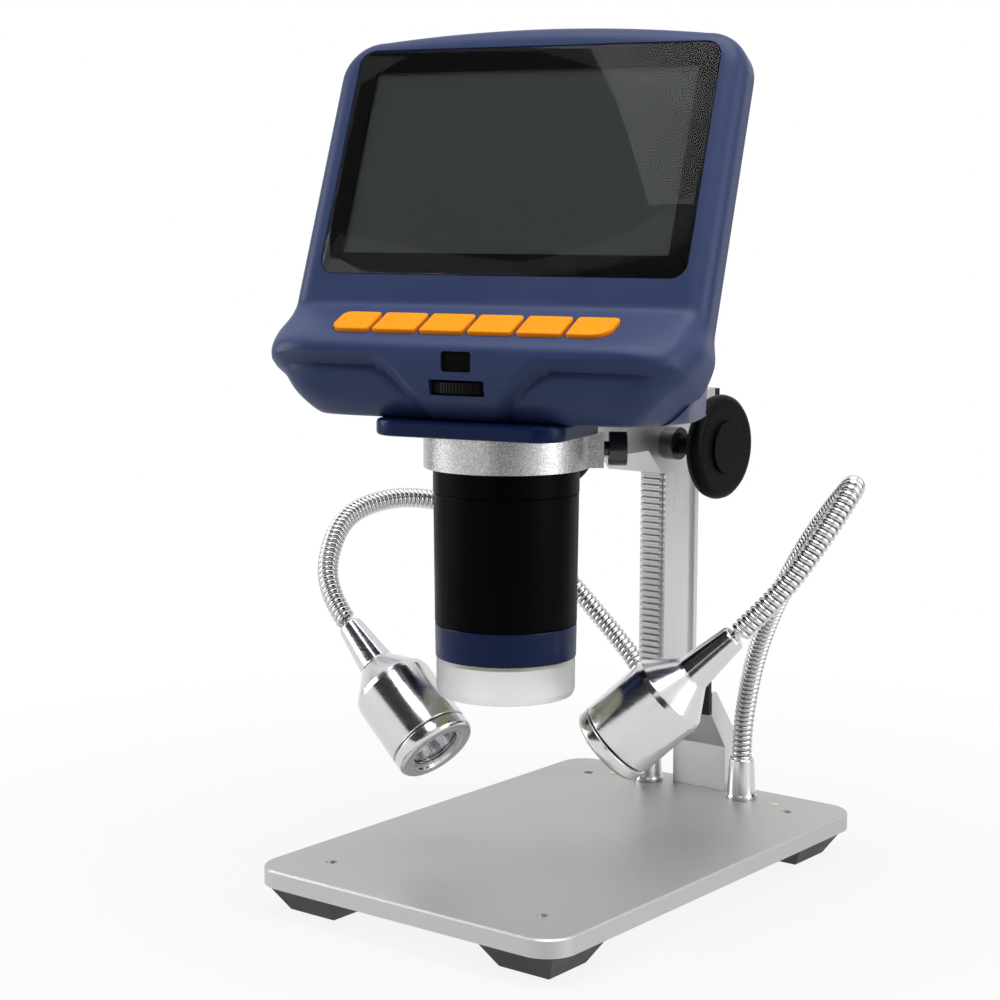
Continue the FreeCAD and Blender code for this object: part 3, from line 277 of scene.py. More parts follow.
def dressed(piece, finish, body, slot, *nodes):
    """Gives a placed piece its finish and its body, and hides the nodes it stands for."""
    coated(piece, finish)
    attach(piece, body)
    if nodes:
        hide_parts(*nodes)
    return piece


def softened(node, width, finish, steps=2, angle=34):
    """A copy of a CAD node with its doubled corners merged and its sharp edges eased."""
    source = NODES[node]
    piece = bpy.data.objects.new(node + "_soft", source.data.copy())
    bpy.context.scene.collection.objects.link(piece)
    only(piece)
    bpy.ops.object.mode_set(mode="EDIT")
    bpy.ops.mesh.select_all(action="SELECT")
    bpy.ops.mesh.remove_doubles(threshold=0.000002)
    bpy.ops.mesh.dissolve_limited(angle_limit=math.radians(0.6))
    bpy.ops.object.mode_set(mode="OBJECT")
    for layer in list(piece.data.attributes):
        if layer.name in ("custom_normal", "sharp_edge", "sharp_face"):
            piece.data.attributes.remove(layer)
    bevelled(piece, width * MM, steps, angle)
    bpy.ops.object.shade_smooth_by_angle(angle=math.radians(angle))
    flat = piece.modifiers.new("Flat faces", "WEIGHTED_NORMAL")
    flat.weight, flat.keep_sharp = 100, True
    bpy.ops.object.modifier_apply(modifier=flat.name)
    slots = {entry["node"]: entry["material_slot"] for entry in frame["record"]["subparts"]}
    return dressed(piece, finish, source["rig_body"], slots[node], node)


def eased(corners, steps=5):
    """Rounds an outline's corners: each is (x, y) or (x, y, radius)."""
    points = []
    for n, corner in enumerate(corners):
        here = Vector(corner[:2])
        if len(corner) == 2 or not corner[2]:
            points.append(tuple(here))
            continue
        back = Vector(corners[n - 1][:2]) - here
        ahead = Vector(corners[(n + 1) % len(corners)][:2]) - here
        back_way, ahead_way = back.normalized(), ahead.normalized()
        half = back_way.angle(ahead_way) / 2
        reach = min(corner[2] / math.tan(half), back.length * 0.49, ahead.length * 0.49)
        radius = reach * math.tan(half)
        middle = here + (back_way + ahead_way).normalized() * (radius / math.sin(half))
        first = here + back_way * reach - middle
        last = here + ahead_way * reach - middle
        turn = math.atan2(first.x * last.y - first.y * last.x, first.dot(last))
        for step in range(steps + 1):
            part = Matrix.Rotation(turn * step / steps, 2) @ first
            points.append(tuple(middle + part))
    return points


def circle(radius, count):
    """A round outline of (x, y) pairs."""
    return [(radius * math.cos(t), radius * math.sin(t))
            for t in np.linspace(0, 2 * math.pi, count, endpoint=False)]


def round_box(width, height, radius, steps=8):
    x, y = width / 2, height / 2
    return eased([(-x, -y, radius), (x, -y, radius), (x, y, radius), (-x, y, radius)], steps)


# Finishes

def new_group(name, inputs, outputs):
    group = bpy.data.node_groups.new(name, "ShaderNodeTree")
    for label, value in inputs:
        group.interface.new_socket(label, in_out="INPUT", socket_type="NodeSocketFloat").default_value = value
    for label, kind in outputs:
        group.interface.new_socket(label, in_out="OUTPUT", socket_type=kind)
    return group, group.nodes.new("NodeGroupInput"), group.nodes.new("NodeGroupOutput")


def grain_group():
    """Fine grain of a blasted or moulded surface, with broad patches for uneven sheen."""
    if "Fine grain" in bpy.data.node_groups:
        return bpy.data.node_groups["Fine grain"]
    group, given, out = new_group(
        "Fine grain", [("Grains per metre", 1500.0), ("Depth", 0.2), ("Patch size", 40.0)],
        [("Speck", "NodeSocketFloat"), ("Patch", "NodeSocketFloat"), ("Normal", "NodeSocketVector")])
    where = group.nodes.new("ShaderNodeTexCoord")
    speck, patch = group.nodes.new("ShaderNodeTexNoise"), group.nodes.new("ShaderNodeTexNoise")
    speck.inputs["Detail"].default_value = 3
    bump = group.nodes.new("ShaderNodeBump")
    bump.inputs["Distance"].default_value = 0.0002
    link = group.links.new
    link(where.outputs["Object"], speck.inputs["Vector"])
    link(where.outputs["Object"], patch.inputs["Vector"])
    link(given.outputs["Grains per metre"], speck.inputs["Scale"])
    link(given.outputs["Patch size"], patch.inputs["Scale"])
    link(given.outputs["Depth"], bump.inputs["Strength"])
    link(speck.outputs["Fac"], bump.inputs["Height"])
    link(speck.outputs["Fac"], out.inputs["Speck"])
    link(patch.outputs["Fac"], out.inputs["Patch"])
    link(bump.outputs["Normal"], out.inputs["Normal"])
    return group


def brush_group():
    """Straight brushing or drawing lines along one axis of the piece."""
    if "Brush lines" in bpy.data.node_groups:
        return bpy.data.node_groups["Brush lines"]
    group, given, out = new_group(
        "Brush lines", [("Along X", 2000.0), ("Along Y", 2000.0), ("Along Z", 20.0), ("Depth", 0.1)],
        [("Line", "NodeSocketFloat"), ("Normal", "NodeSocketVector")])
    where = group.nodes.new("ShaderNodeTexCoord")
    join, stretch = group.nodes.new("ShaderNodeCombineXYZ"), group.nodes.new("ShaderNodeVectorMath")
    stretch.operation = "MULTIPLY"
    lines = group.nodes.new("ShaderNodeTexNoise")
    lines.inputs["Scale"].default_value = 1.0
    lines.inputs["Detail"].default_value = 2
    bump = group.nodes.new("ShaderNodeBump")
    bump.inputs["Distance"].default_value = 0.0001
    link = group.links.new
    for axis in "XYZ":
        link(given.outputs["Along " + axis], join.inputs[axis])
    link(where.outputs["Object"], stretch.inputs[0])
    link(join.outputs["Vector"], stretch.inputs[1])
    link(stretch.outputs["Vector"], lines.inputs["Vector"])
    link(given.outputs["Depth"], bump.inputs["Strength"])
    link(lines.outputs["Fac"], bump.inputs["Height"])
    link(lines.outputs["Fac"], out.inputs["Line"])
    link(bump.outputs["Normal"], out.inputs["Normal"])
    return group


def blank(name):
    finish = bpy.data.materials.new(name)
    finish.use_nodes = True
    tree = finish.node_tree
    return finish, tree, tree.nodes["Principled BSDF"]


def shade(colour, factor):
    return tuple(min(1.0, c * factor) for c in colour) + (1.0,)


def span(tree, value, low, high, old_low=0.3, old_high=0.7):
    """Maps a mask onto a narrow range."""
    node = tree.nodes.new("ShaderNodeMapRange")
    for socket, number in zip(("From Min", "From Max", "To Min", "To Max"), (old_low, old_high, low, high)):
        node.inputs[socket].default_value = number
    tree.links.new(value, node.inputs["Value"])
    return node.outputs["Result"]


def between(tree, mask, dark, light):
    node = tree.nodes.new("ShaderNodeMix")
    node.data_type = "RGBA"
    node.inputs["A"].default_value, node.inputs["B"].default_value = dark, light
    tree.links.new(mask, node.inputs["Factor"])
    return node.outputs["Result"]


def grained(name, colour, rough, grains=1500, depth=0.2, patch=40, vary=0.08, metal=0.0, coat=0.0, gloss=0.5):
    """A grained surface whose colour and sheen wander a little."""
    finish, tree, surface = blank(name)
    grain = tree.nodes.new("ShaderNodeGroup")
    grain.node_tree = grain_group()
    grain.inputs["Grains per metre"].default_value = grains
    grain.inputs["Depth"].default_value = depth
    grain.inputs["Patch size"].default_value = patch
    link = tree.links.new
    both = tree.nodes.new("ShaderNodeMath")
    both.operation = "MULTIPLY_ADD"
    both.inputs[1].default_value = 0.6
    link(grain.outputs["Speck"], both.inputs[0])
    link(span(tree, grain.outputs["Patch"], -0.1, 0.5), both.inputs[2])
    link(between(tree, both.outputs[0], shade(colour, 1 - vary), shade(colour, 1 + vary)),
         surface.inputs["Base Color"])
    link(span(tree, grain.outputs["Patch"], rough * 0.9, min(1, rough * 1.12)), surface.inputs["Roughness"])
    link(grain.outputs["Normal"], surface.inputs["Normal"])
    surface.inputs["Metallic"].default_value = metal
    surface.inputs["Coat Weight"].default_value = coat
    surface.inputs["Coat Roughness"].default_value = 0.25
    surface.inputs["Specular IOR Level"].default_value = gloss
    return finish


def brushed(name, colour, rough, along, depth=0.1, vary=0.06):
    """Drawn, ground or polished metal with fine lines; along gives their closeness on each axis."""
    finish, tree, surface = blank(name)
    lines = tree.nodes.new("ShaderNodeGroup")
    lines.node_tree = brush_group()
    for axis, number in zip("XYZ", along):
        lines.inputs["Along " + axis].default_value = number
    lines.inputs["Depth"].default_value = depth
    link = tree.links.new
    link(between(tree, lines.outputs["Line"], shade(colour, 1 - vary), shade(colour, 1 + vary)),
         surface.inputs["Base Color"])
    link(span(tree, lines.outputs["Line"], rough * 0.75, rough * 1.25), surface.inputs["Roughness"])
    link(lines.outputs["Normal"], surface.inputs["Normal"])
    surface.inputs["Metallic"].default_value = 1.0
    return finish


def sparkling(name, colour, rough):
    """Blasted aluminium with bright and dark specks."""
    finish, tree, surface = blank(name)
    where = tree.nodes.new("ShaderNodeTexCoord")
    cells = tree.nodes.new("ShaderNodeTexVoronoi")
    cells.inputs["Scale"].default_value = 4600
    link = tree.links.new
    link(where.outputs["Object"], cells.inputs["Vector"])
    pick = tree.nodes.new("ShaderNodeSeparateColor")
    link(cells.outputs["Color"], pick.inputs["Color"])
    ramp = tree.nodes.new("ShaderNodeValToRGB")
    ramp.color_ramp.elements[0].color = shade(colour, 0.74)
    ramp.color_ramp.elements[1].color = shade(colour, 1.45)
    middle = ramp.color_ramp.elements.new(0.55)
    middle.color = shade(colour, 1.0)
    link(pick.outputs["Red"], ramp.inputs["Fac"])
    link(ramp.outputs["Color"], surface.inputs["Base Color"])
    link(span(tree, pick.outputs["Green"], rough * 0.6, rough * 1.3, 0, 1), surface.inputs["Roughness"])
    bump = tree.nodes.new("ShaderNodeBump")
    bump.inputs["Strength"].default_value = 0.12
    bump.inputs["Distance"].default_value = 0.0001
    link(pick.outputs["Blue"], bump.inputs["Height"])
    link(bump.outputs["Normal"], surface.inputs["Normal"])
    surface.inputs["Metallic"].default_value = 1.0
    return finish


def plate_finish(colour):
    """Fine blasted plate: its sides below the top are painted paler as a painted highlight, with a few small
    nicks.
    """
    finish, tree, surface = blank("Plate aluminium")
    link = tree.links.new
    grain = tree.nodes.new("ShaderNodeGroup")
    grain.node_tree = grain_group()
    grain.inputs["Grains per metre"].default_value = 2600
    grain.inputs["Depth"].default_value = 0.22
    grain.inputs["Patch size"].default_value = 14
    where = tree.nodes.new("ShaderNodeTexCoord")
    parts = tree.nodes.new("ShaderNodeSeparateXYZ")
    link(where.outputs["Object"], parts.inputs["Vector"])
    # Mask of the plate's sides below its top: it carries the painted highlight and places the nicks.
    rim = tree.nodes.new("ShaderNodeMath")
    rim.operation = "LESS_THAN"
    rim.inputs[1].default_value = 0.01285
    link(parts.outputs["Z"], rim.inputs[0])
    nick = tree.nodes.new("ShaderNodeTexNoise")
    nick.inputs["Scale"].default_value = 700
    nick.inputs["Detail"].default_value = 4
    link(where.outputs["Object"], nick.inputs["Vector"])
    nicked = span(tree, nick.outputs["Fac"], 0, 1, 0.72, 0.76)
    hit = tree.nodes.new("ShaderNodeMath")
    hit.operation = "MULTIPLY"
    link(nicked, hit.inputs[0])
    link(rim.outputs[0], hit.inputs[1])
    top = between(tree, grain.outputs["Speck"], shade(colour, 0.86), shade(colour, 1.14))
    # Painted highlight: the sides below the top are painted paler than the grained top.
    painted_highlight = tree.nodes.new("ShaderNodeMix")
    painted_highlight.data_type = "RGBA"
    painted_highlight.inputs["B"].default_value = shade(colour, 1.15)
    link(rim.outputs[0], painted_highlight.inputs["Factor"])
    link(top, painted_highlight.inputs["A"])
    worn = tree.nodes.new("ShaderNodeMix")
    worn.data_type = "RGBA"
    worn.inputs["B"].default_value = (0.20, 0.20, 0.20, 1)
    link(hit.outputs[0], worn.inputs["Factor"])
    link(painted_highlight.outputs["Result"], worn.inputs["A"])
    link(worn.outputs["Result"], surface.inputs["Base Color"])
    link(span(tree, grain.outputs["Patch"], 0.40, 0.50), surface.inputs["Roughness"])
    link(grain.outputs["Normal"], surface.inputs["Normal"])
    surface.inputs["Metallic"].default_value = 0.9
    return finish


def clear(name, colour, rough=0.02, index=1.45):
    finish, tree, surface = blank(name)
    surface.inputs["Base Color"].default_value = shade(colour, 1.0)
    surface.inputs["Transmission Weight"].default_value = 1.0
    surface.inputs["IOR"].default_value = index
    grain = tree.nodes.new("ShaderNodeGroup")
    grain.node_tree = grain_group()
    grain.inputs["Patch size"].default_value = 60
    tree.links.new(span(tree, grain.outputs["Patch"], rough * 0.8, rough * 1.3), surface.inputs["Roughness"])
    return finish


def all_finishes(colours):
    """Every finish of the object, by name."""
    polish = (0.62, 0.62, 0.63)
    return {
        "case": grained("Housing blue", colours.case, 0.42, 2300, 0.16, 30, 0.10, gloss=0.22),
        "band": grained("Band blue", colours.band, 0.30, 1500, 0.05, 50, 0.08, coat=0.05, gloss=0.1),
        "key": grained("Key orange", colours.key, 0.50, 1200, 0.08, 150, 0.05, gloss=0.12),
        "plate": plate_finish(colours.metal),
        "ring": sparkling("Speckled aluminium", (0.46, 0.46, 0.46), 0.36),
        "bar": brushed("Drawn aluminium", (0.66, 0.66, 0.67), 0.34, (2600, 2600, 12), 0.12),
        "cast": grained("Satin aluminium", (0.66, 0.66, 0.66), 0.42, 2400, 0.2, 40, 0.08, metal=1.0),
        "strap": grained("Strap aluminium", (0.62, 0.62, 0.62), 0.38, 2400, 0.15, 40, 0.08, metal=1.0),
        "rack": brushed("Rack steel", (0.50, 0.50, 0.50), 0.36, (120, 2400, 2400), 0.2, 0.2),
        "steel": brushed("Bright steel", (0.62, 0.62, 0.63), 0.22, (1800, 1800, 200), 0.05),
        "polish": brushed("Polished chrome", polish, 0.16, (900, 900, 90), 0.02, 0.03),
        "lamp": brushed("Turned lamp metal", (0.66, 0.66, 0.67), 0.16, (200, 200, 2600), 0.05, 0.05),
        "brass": brushed("Brassy screw", (0.62, 0.53, 0.34), 0.32, (1500, 1500, 1500), 0.2),
        "black": grained("Black moulding", (0.0040, 0.0040, 0.0046), 0.38, 1800, 0.12, 50, 0.2, gloss=0.18),
        "knob": grained("Knob black", (0.0030, 0.0030, 0.0034), 0.40, 1900, 0.2, 60, 0.2, gloss=0.06),
        "grip": grained("Grip black", (0.0008, 0.0008, 0.0010), 0.36, 900, 0.05, 80, 0.2, gloss=0.03),
        "dark": grained("Blackened metal", (0.010, 0.010, 0.011), 0.26, 1600, 0.08, 60, 0.2, coat=0.3),
        "rubber": grained("Foot rubber", (0.008, 0.008, 0.008), 0.55, 1500, 0.3, 90, 0.25),
        "print": grained("Black print", (0.0015, 0.0015, 0.0018), 0.50, 900, 0.02, 30, 0.1, gloss=0.05),
        "panel": grained("Screen panel", (0.045, 0.048, 0.048), 0.80, 3000, 0.01, 8, 0.02, gloss=0.0),
        "glass": clear("Cover glass", (0.97, 0.98, 1.0), 0.015, 1.2),
        "lens": clear("Lamp glass", (0.96, 0.97, 1.0), 0.03),
        "frost": clear("Frosted skirt", (0.86, 0.87, 0.88), 0.42, 1.40),
        "board": grained("Solder mask", (0.01, 0.10, 0.035), 0.35, 700, 0.1, 90, 0.3),
        "led": grained("Lamp board", (0.62, 0.60, 0.40), 0.45, 700, 0.1, 200, 0.2),
        "bush": grained("Bush black", (0.02, 0.02, 0.022), 0.24, 1200, 0.05, 60, 0.2, coat=0.5),
    }


FINISH = {}


# The moulded case

def soft_step(value, width):
    share = np.clip(value / width, 0, 1)
    return share * share * (3 - 2 * share)


def soft_bend(value, width):
    """A line that turns from flat to rising at zero, over a width."""
    return width * np.logaddexp(0, value / width)


def soft_least(a, b, width):
    """The smaller of two, with the corner between them rounded."""
    return -width * np.logaddexp(-a / width, -b / width)


def front_surface(across, up, fold):
    """Depth of the case's front: flat screen face, ledge, nose, and the chin with its two hollows."""
    down = -up
    depth = (LEDGE_OUT * soft_bend(down - LEDGE_DOWN, 0.5) + NOSE_BACK * soft_bend(down - NOSE_DOWN, 1.3)
             + CHIN_BACK * soft_bend(down - CHIN_DOWN, 1.2))
    below = down - FOLD_DOWN
    beside = (np.abs(across) - FOLD_ACROSS) * 0.696 + (down - FOLD_CORNER) * 0.718
    inward = soft_least(below, beside, 1.6)
    return depth + fold * soft_step(inward + 0.6, 1.9) + GROOVE_DEEP * np.exp(-((inward - 1.2) / 1.2) ** 2)


def rear_surface(across, up):
    """Depth of the case's back: a shallow rim round a hump that deepens downwards.

    By the sockets the hump reaches the left wall.
    """
    sockets = soft_step(-across - 30, 10) * soft_step(up + 42, 9) * soft_step(-2 - up, 9)
    hump = soft_step(57 - np.abs(across) + 14 * sockets, 9) * soft_step(38 - up, 8)
    return REAR_RIM + (21.0 + (33.0 - up) * 0.245 - REAR_RIM) * hump


def case_half(name, wide, top, crown, corner, chin_corner, lobe, surface, rounding, forward):
    """One half of the case: a surface inside a rounded outline, eased into walls that end at the seam."""
    low, high = CASE_LOW, top - crown
    middle, tall = (low + high) / 2, (high - low) / 2

    def width_at(up):
        wave = soft_step(-up - 45, 9) - soft_step(-up - 61.5, 3.5)
        return wide + lobe * wave - 0.8 * lobe * soft_step(-up - 61.5, 3.5)

    low_turn = np.sin(np.linspace(0, math.pi / 2, 34)) * chin_corner
    high_turn = np.sin(np.linspace(0, math.pi / 2, 14)) * corner
    rows = np.concatenate([low + chin_corner - low_turn[::-1],
                           np.linspace(low + chin_corner, high - corner, 104)[1:-1],
                           high - corner + high_turn])
    near = 5.0 * (1 - np.cos(np.linspace(0, math.pi / 2, 8)))
    inside = np.linspace(-1, 1, 131)[1:-1]
    lines = []
    for up in rows:
        turn = chin_corner if up < middle else corner
        past = max(0.0, abs(up - middle) - (tall - turn))
        width = width_at(up) - turn + math.sqrt(max(0.0, turn * turn - past * past))
        line = np.concatenate([-(width - near), inside * (width - near[-1]), (width - near)[::-1]])
        lines.append(np.stack([line, np.full(len(line), up)], axis=1))
    plan = np.array(lines)
    across, up = plan[..., 0], plan[..., 1]
    turn = np.where(up < middle, chin_corner, corner)
    x = np.abs(across) - (width_at(up) - turn)
    y = np.abs(up - middle) - (tall - turn)
    outside = np.hypot(np.maximum(x, 0), np.maximum(y, 0)) + np.minimum(np.maximum(x, y), 0) - turn
    from_edge = np.maximum(0, -outside)
    arch = np.clip(1 - (across / (wide - corner)) ** 2, 0, 1)
    crowned = up + crown * arch * ((up - low) / (high - low)) ** 3
    depth = surface(across, crowned)
    if forward:
        ease = np.full_like(depth, rounding)
    else:
        ease = np.clip(depth - SEAM_DEPTH - 0.4, 0.8, rounding)
    short = np.maximum(0, ease - from_edge)
    step = ease - np.sqrt(np.maximum(0, ease * ease - short * short))
    if forward:
        near_end = np.maximum(0, NOSE_ROUND - np.maximum(0, width_at(up) - np.abs(across))) / NOSE_ROUND
        depth = depth - 0.85 * np.minimum(depth, 0) * (1 - np.sqrt(1 - near_end ** 2))
    depth = depth + step if forward else depth - step
    spots = np.stack([across, depth, crowned], axis=-1)
    sheet = grid(name, spots.shape[1], spots.shape[0], spots)
    only(sheet)
    count = len(sheet.data.vertices)
    for level in range(1, 5):
        bpy.ops.object.mode_set(mode="EDIT")
        bpy.ops.mesh.select_mode(type="EDGE")
        bpy.ops.mesh.select_all(action="DESELECT")
        bpy.ops.mesh.select_non_manifold(extend=False, use_boundary=True)
        bpy.ops.mesh.extrude_edges_move()
        bpy.ops.object.mode_set(mode="OBJECT")
        for corner_point in list(sheet.data.vertices)[count:]:
            corner_point.co.y += (SEAM_DEPTH - corner_point.co.y) / (5 - level)
        count = len(sheet.data.vertices)
    lean, down = math.cos(SCREEN_LEAN), math.sin(SCREEN_LEAN)
    for point in sheet.data.vertices:
        floor = (UNDERSIDE - SCREEN_MIDDLE[1] + point.co.y * down) / lean
        point.co.z = floor + soft_bend(point.co.z - floor, 0.35)
    bpy.ops.object.mode_set(mode="EDIT")
    bpy.ops.mesh.select_mode(type="EDGE")
    bpy.ops.mesh.select_all(action="DESELECT")
    bpy.ops.mesh.select_non_manifold(extend=False, use_boundary=True)
    bpy.ops.mesh.edge_face_add()
    tidy(0.004)
    bpy.ops.object.mode_set(mode="OBJECT")
    return sheet


def moved(piece, place):
    """Applies a place to a piece, still in millimetres."""
    only(piece)
    piece.matrix_world = place @ piece.matrix_world
    bpy.ops.object.transform_apply(location=True, rotation=True, scale=True)
    return piece


TO_SCREEN = SCREEN.inverted()


def upright_slab(name, outline, low, high):
    """A slab square to the screen: its outline is across and up, its thickness runs back."""
    piece = slab(name, outline, -high, -low)
    return moved(piece, Matrix.Rotation(math.radians(90), 4, "X"))


def key_outline(number):
    x, y = 6.2, 5.1
    corners = [(-x, -y, 0.9), (x, -y, 0.9), (x, y, 0.9), (-x, y, 0.9)]
    if number == 0:
        corners[0], corners[3] = (1.2 - x, -y, 3.6), (1.2 - x, y, 2.6)
    if number == 5:
        corners[1], corners[2] = (x - 0.9, -y, 7.4), (x - 0.9, y, 1.2)
    shift = (number - 2.5) * KEY_PITCH
    return [(px + shift, py) for px, py in eased(corners, 6)]


def grown(outline, by):
    """The same outline a little larger, for the hole round a key."""
    middle = sum((Vector(p) for p in outline), Vector((0, 0))) / len(outline)
    return [tuple(Vector(p) + (Vector(p) - middle).normalized() * by) for p in outline]


def neck_room():
    """The room that both halves of the case leave for the barrel's neck."""
    neck = slab("neck_room", circle(NECK_RADIUS, 64), -3, 4)
    return moved(neck, TO_SCREEN @ HEAD @ Matrix.Translation((0, 0, UNDERSIDE)))


class SCOPE_OT_case(bpy.types.Operator):
    """Moulds the two halves of the screen's case"""

    bl_idname = "scope.case"
    bl_label = "Case"

    def execute(self, context):
        sizes = context.scene.scope_sizes
        front = case_half("case_front", 60.0, 40.5, 2.8, 12.0, 24.0, 1.3,
                          lambda a, b: front_surface(a, b, sizes.nose_fold), sizes.edge_round, True)
        cutters = [upright_slab("glass_seat", round_box(107.0, 67.2, 4.7), -3, 1.5),
                   upright_slab("panel_seat", round_box(97, 56, 1.0), 1.0, 4.0)]
        for number in range(6):
            hole = slab(f"key_hole_{number}", grown(key_outline(number), 0.28), -4.2, 5)
            cutters.append(moved(hole, TO_SCREEN @ LEDGE))
        eye = upright_slab("eye_hole", round_box(8.5, 5.3, 0.9), 0, 8)
        cutters.append(moved(eye, TO_SCREEN @ HEAD @ Matrix.Translation((0, CHIN_OPENING_Y, WINDOW_UP))))
        slot = upright_slab("wheel_hole", round_box(15.6, 4.1, 0.25), 0, 9)
        cutters.append(moved(slot, TO_SCREEN @ HEAD @ Matrix.Translation((0, CHIN_OPENING_Y, WHEEL_AT[1]))))
        room = slab("wheel_room", circle(10.9, 48), -2.0, 2.0)
        room = moved(room, Matrix.Translation((0, WHEEL_AT[0] + 0.8, WHEEL_AT[1])))
        cutters.append(moved(room, TO_SCREEN @ HEAD))
        cutters.append(neck_room())
        placed(carved(front, cutters), SCREEN, 40)
        dressed(front, FINISH["case"], "head", "housing_blue", "front_shell")
        back = case_half("case_back", 59.6, 40.0, 2.7, 11.6, 23.6, 0.0,
                         rear_surface, 7.0, False)
        cutters = []
        for number, (x, z) in enumerate(CASE_SCREWS):
            hole = upright_slab("screw_sink", circle(2.8, 32), 11.2, 60)
            cutters.append(moved(hole, Matrix.Translation((x, 0, z))))
            outline = [(0, 10.5), (2.3, 10.5), (2.3, 12.6, 0.5), (1.1, 12.7), (1.1, 11.8), (0, 11.8)]
            screw = spun("case_screw", eased(outline, 3), 32)
            upright = Matrix.Rotation(math.radians(-90), 4, "X")
            screw = moved(screw, Matrix.Translation((x, 0, z)) @ upright)
            dressed(placed(screw, SCREEN), FINISH["steel"], "head", "steel_screw",
                    *(["case_screws"] if number == 0 else []))
        for row in range(5):
            vent = upright_slab("vent", round_box(34, 1.6, 0.79), 30, 60)
            cutters.append(moved(vent, Matrix.Translation((0, 0, -22 - 4 * row))))
        cutters.append(neck_room())
        for high, deep, lift in ((3.3, 8.3, -25 + 1.6), (1.7, 12.1, -35 + 0.8)):
            port = slab("port", round_box(12, deep, 0.6), -high / 2, high / 2)
            port = moved(port, Matrix.Translation((-60.5, 19 if deep < 10 else 17, SCREEN_MIDDLE[1] + lift)))
            cutters.append(moved(port, TO_SCREEN @ HEAD))
        placed(carved(back, cutters), SCREEN, 40)
        dressed(back, FINISH["case"], "head", "housing_blue", "rear_shell")
        return {"FINISHED"}


class SCOPE_OT_screen(bpy.types.Operator):
    """Lays the dark panel, its black print and the clear glass in the case"""

    bl_idname = "scope.screen"
    bl_label = "Screen"

    def execute(self, context):
        panel = upright_slab("screen_panel", round_box(96.4, 55.4, 0.6), 1.9, 2.5)
        dressed(placed(panel, SCREEN), FINISH["panel"], "head", "lcd", "lcd_panel")
        border = upright_slab("screen_border", round_box(106.5, 66.7, 4.4), 0.9, 1.2)
        carved(border, [upright_slab("border_hole", round_box(95.0, 53.9, 0.5), 0, 3)])
        dressed(placed(border, SCREEN), FINISH["print"], "head", "screen_glass")
        glass = upright_slab("screen_cover", round_box(106.5, 66.7, 4.4), 0.25, 0.85)
        dressed(placed(bevelled(glass, 0.2), SCREEN), FINISH["glass"], "head", "screen_glass", "cover_glass")
        return {"FINISHED"}


class SCOPE_OT_keys(bpy.types.Operator):
    """Makes the six soft keys, each on its own travel"""

    bl_idname = "scope.keys"
    bl_label = "Keys"

    def execute(self, context):
        for number in range(6):
            key = slab(f"soft_key_{number + 1}", key_outline(number), -1.5, 1.1)
            bevelled(key, 0.45, 4, 40)
            dressed(placed(key, LEDGE), FINISH["key"], f"key_{number + 1}", "key_orange", f"key_{number + 1}")
        return {"FINISHED"}


class SCOPE_OT_wheel(bpy.types.Operator):
    """Cuts the ribbed brightness wheel and sets the dark window above it"""

    bl_idname = "scope.wheel"
    bl_label = "Wheel and window"

    def execute(self, context):
        ribs = context.scene.scope_sizes.wheel_ribs
        outline = []
        for n in range(ribs * 4):
            radius = 10.0 if n % 4 in (1, 2) else 9.6
            turn = 2 * math.pi * n / (ribs * 4)
            outline.append((radius * math.cos(turn), radius * math.sin(turn)))
        wheel = slab("ribbed_wheel", outline, -1.4, 1.4)
        place = HEAD @ Matrix.Translation((0, WHEEL_AT[0], WHEEL_AT[1]))
        dressed(placed(wheel, place, 20), FINISH["black"], "wheel", "wheel_black", "thumbwheel")
        window = bevelled(upright_slab("dark_window", round_box(8.4, 5.2, 0.9), 0.0, 1.2), 0.2)
        place = HEAD @ Matrix.Translation((0, -31.2, WINDOW_UP))
        dressed(placed(window, place), FINISH["print"], "head", "dark_window", "ir_window")
        return {"FINISHED"}


SOFTENED = {
    "base_plate": (0.35, "plate"), "rubber_feet": (0.5, "rubber"), "mast_foot": (0.35, "strap"),
    "mast_pad": (0.2, "rubber"), "mast_bar": (0.35, "bar"), "mast_cap": (0.3, "black"),
    "carriage": (0.35, "cast"), "carriage_cover": (0.3, "black"), "ring_clamp": (0.35, "ring"),
    "shaft_bushes": (0.3, "bush"), "clamp_screw": (0.3, "dark"), "head_flange": (0.9, "band"),
    "barrel_body": (0.2, "grip"), "focus_sleeve": (0.35, "grip"), "barrel_band": (0.4, "band"),
    "knob_left": (0.3, "knob"), "knob_right": (0.3, "knob"), "knob_caps": (0.25, "knob"),
}
PLAIN = {
    "foot_screws": "steel", "plate_screws": "brass", "mast_screws": "steel", "mast_rack": "rack",
    "lamp_power_box": "black", "carriage_screws": "steel", "pinion_shaft": "steel",
    "pinion_gear": "rack", "side_sockets": "steel", "main_board": "board",
    "led_ring_board": "led", "front_glass": "glass",
    "sensor_board": "board", "lens_carrier": "black",
}


class SCOPE_OT_stand(bpy.types.Operator):
    """Eases the edges of the stand, the carriage and the barrel and gives every kept node its finish"""

    bl_idname = "scope.stand"
    bl_label = "Stand, carriage and barrel"

    def execute(self, context):
        for node, (width, finish) in SOFTENED.items():
            softened(node, width, FINISH[finish])
        boards = softened("control_boards", 0.05, FINISH["board"])
        spots = np.array([point.co for point in boards.data.vertices])
        centre = (spots.min(axis=0) + spots.max(axis=0)) / 2 + np.array((0, 0.002, 0.002))
        spots = centre + (spots - centre) * BOARD_SHARE
        boards.data.vertices.foreach_set("co", spots.astype(np.float32).ravel())
        for node, finish in PLAIN.items():
            coated(NODES[node], FINISH[finish])
        return {"FINISHED"}


class SCOPE_OT_skirt(bpy.types.Operator):
    """Turns the frosted skirt with its lip"""

    bl_idname = "scope.skirt"
    bl_label = "Skirt"

    def execute(self, context):
        outline = eased([(17.4, 47.8), (18.4, 47.8, 0.4), (19.0, 49.6, 0.5), (19.0, 58.2), (17.4, 58.2)], 4)
        skirt = spun("frosted_skirt", outline, 128)
        dressed(placed(skirt, BARREL), FINISH["frost"], "head", "frosted_skirt", "diffuser_skirt")
        return {"FINISHED"}


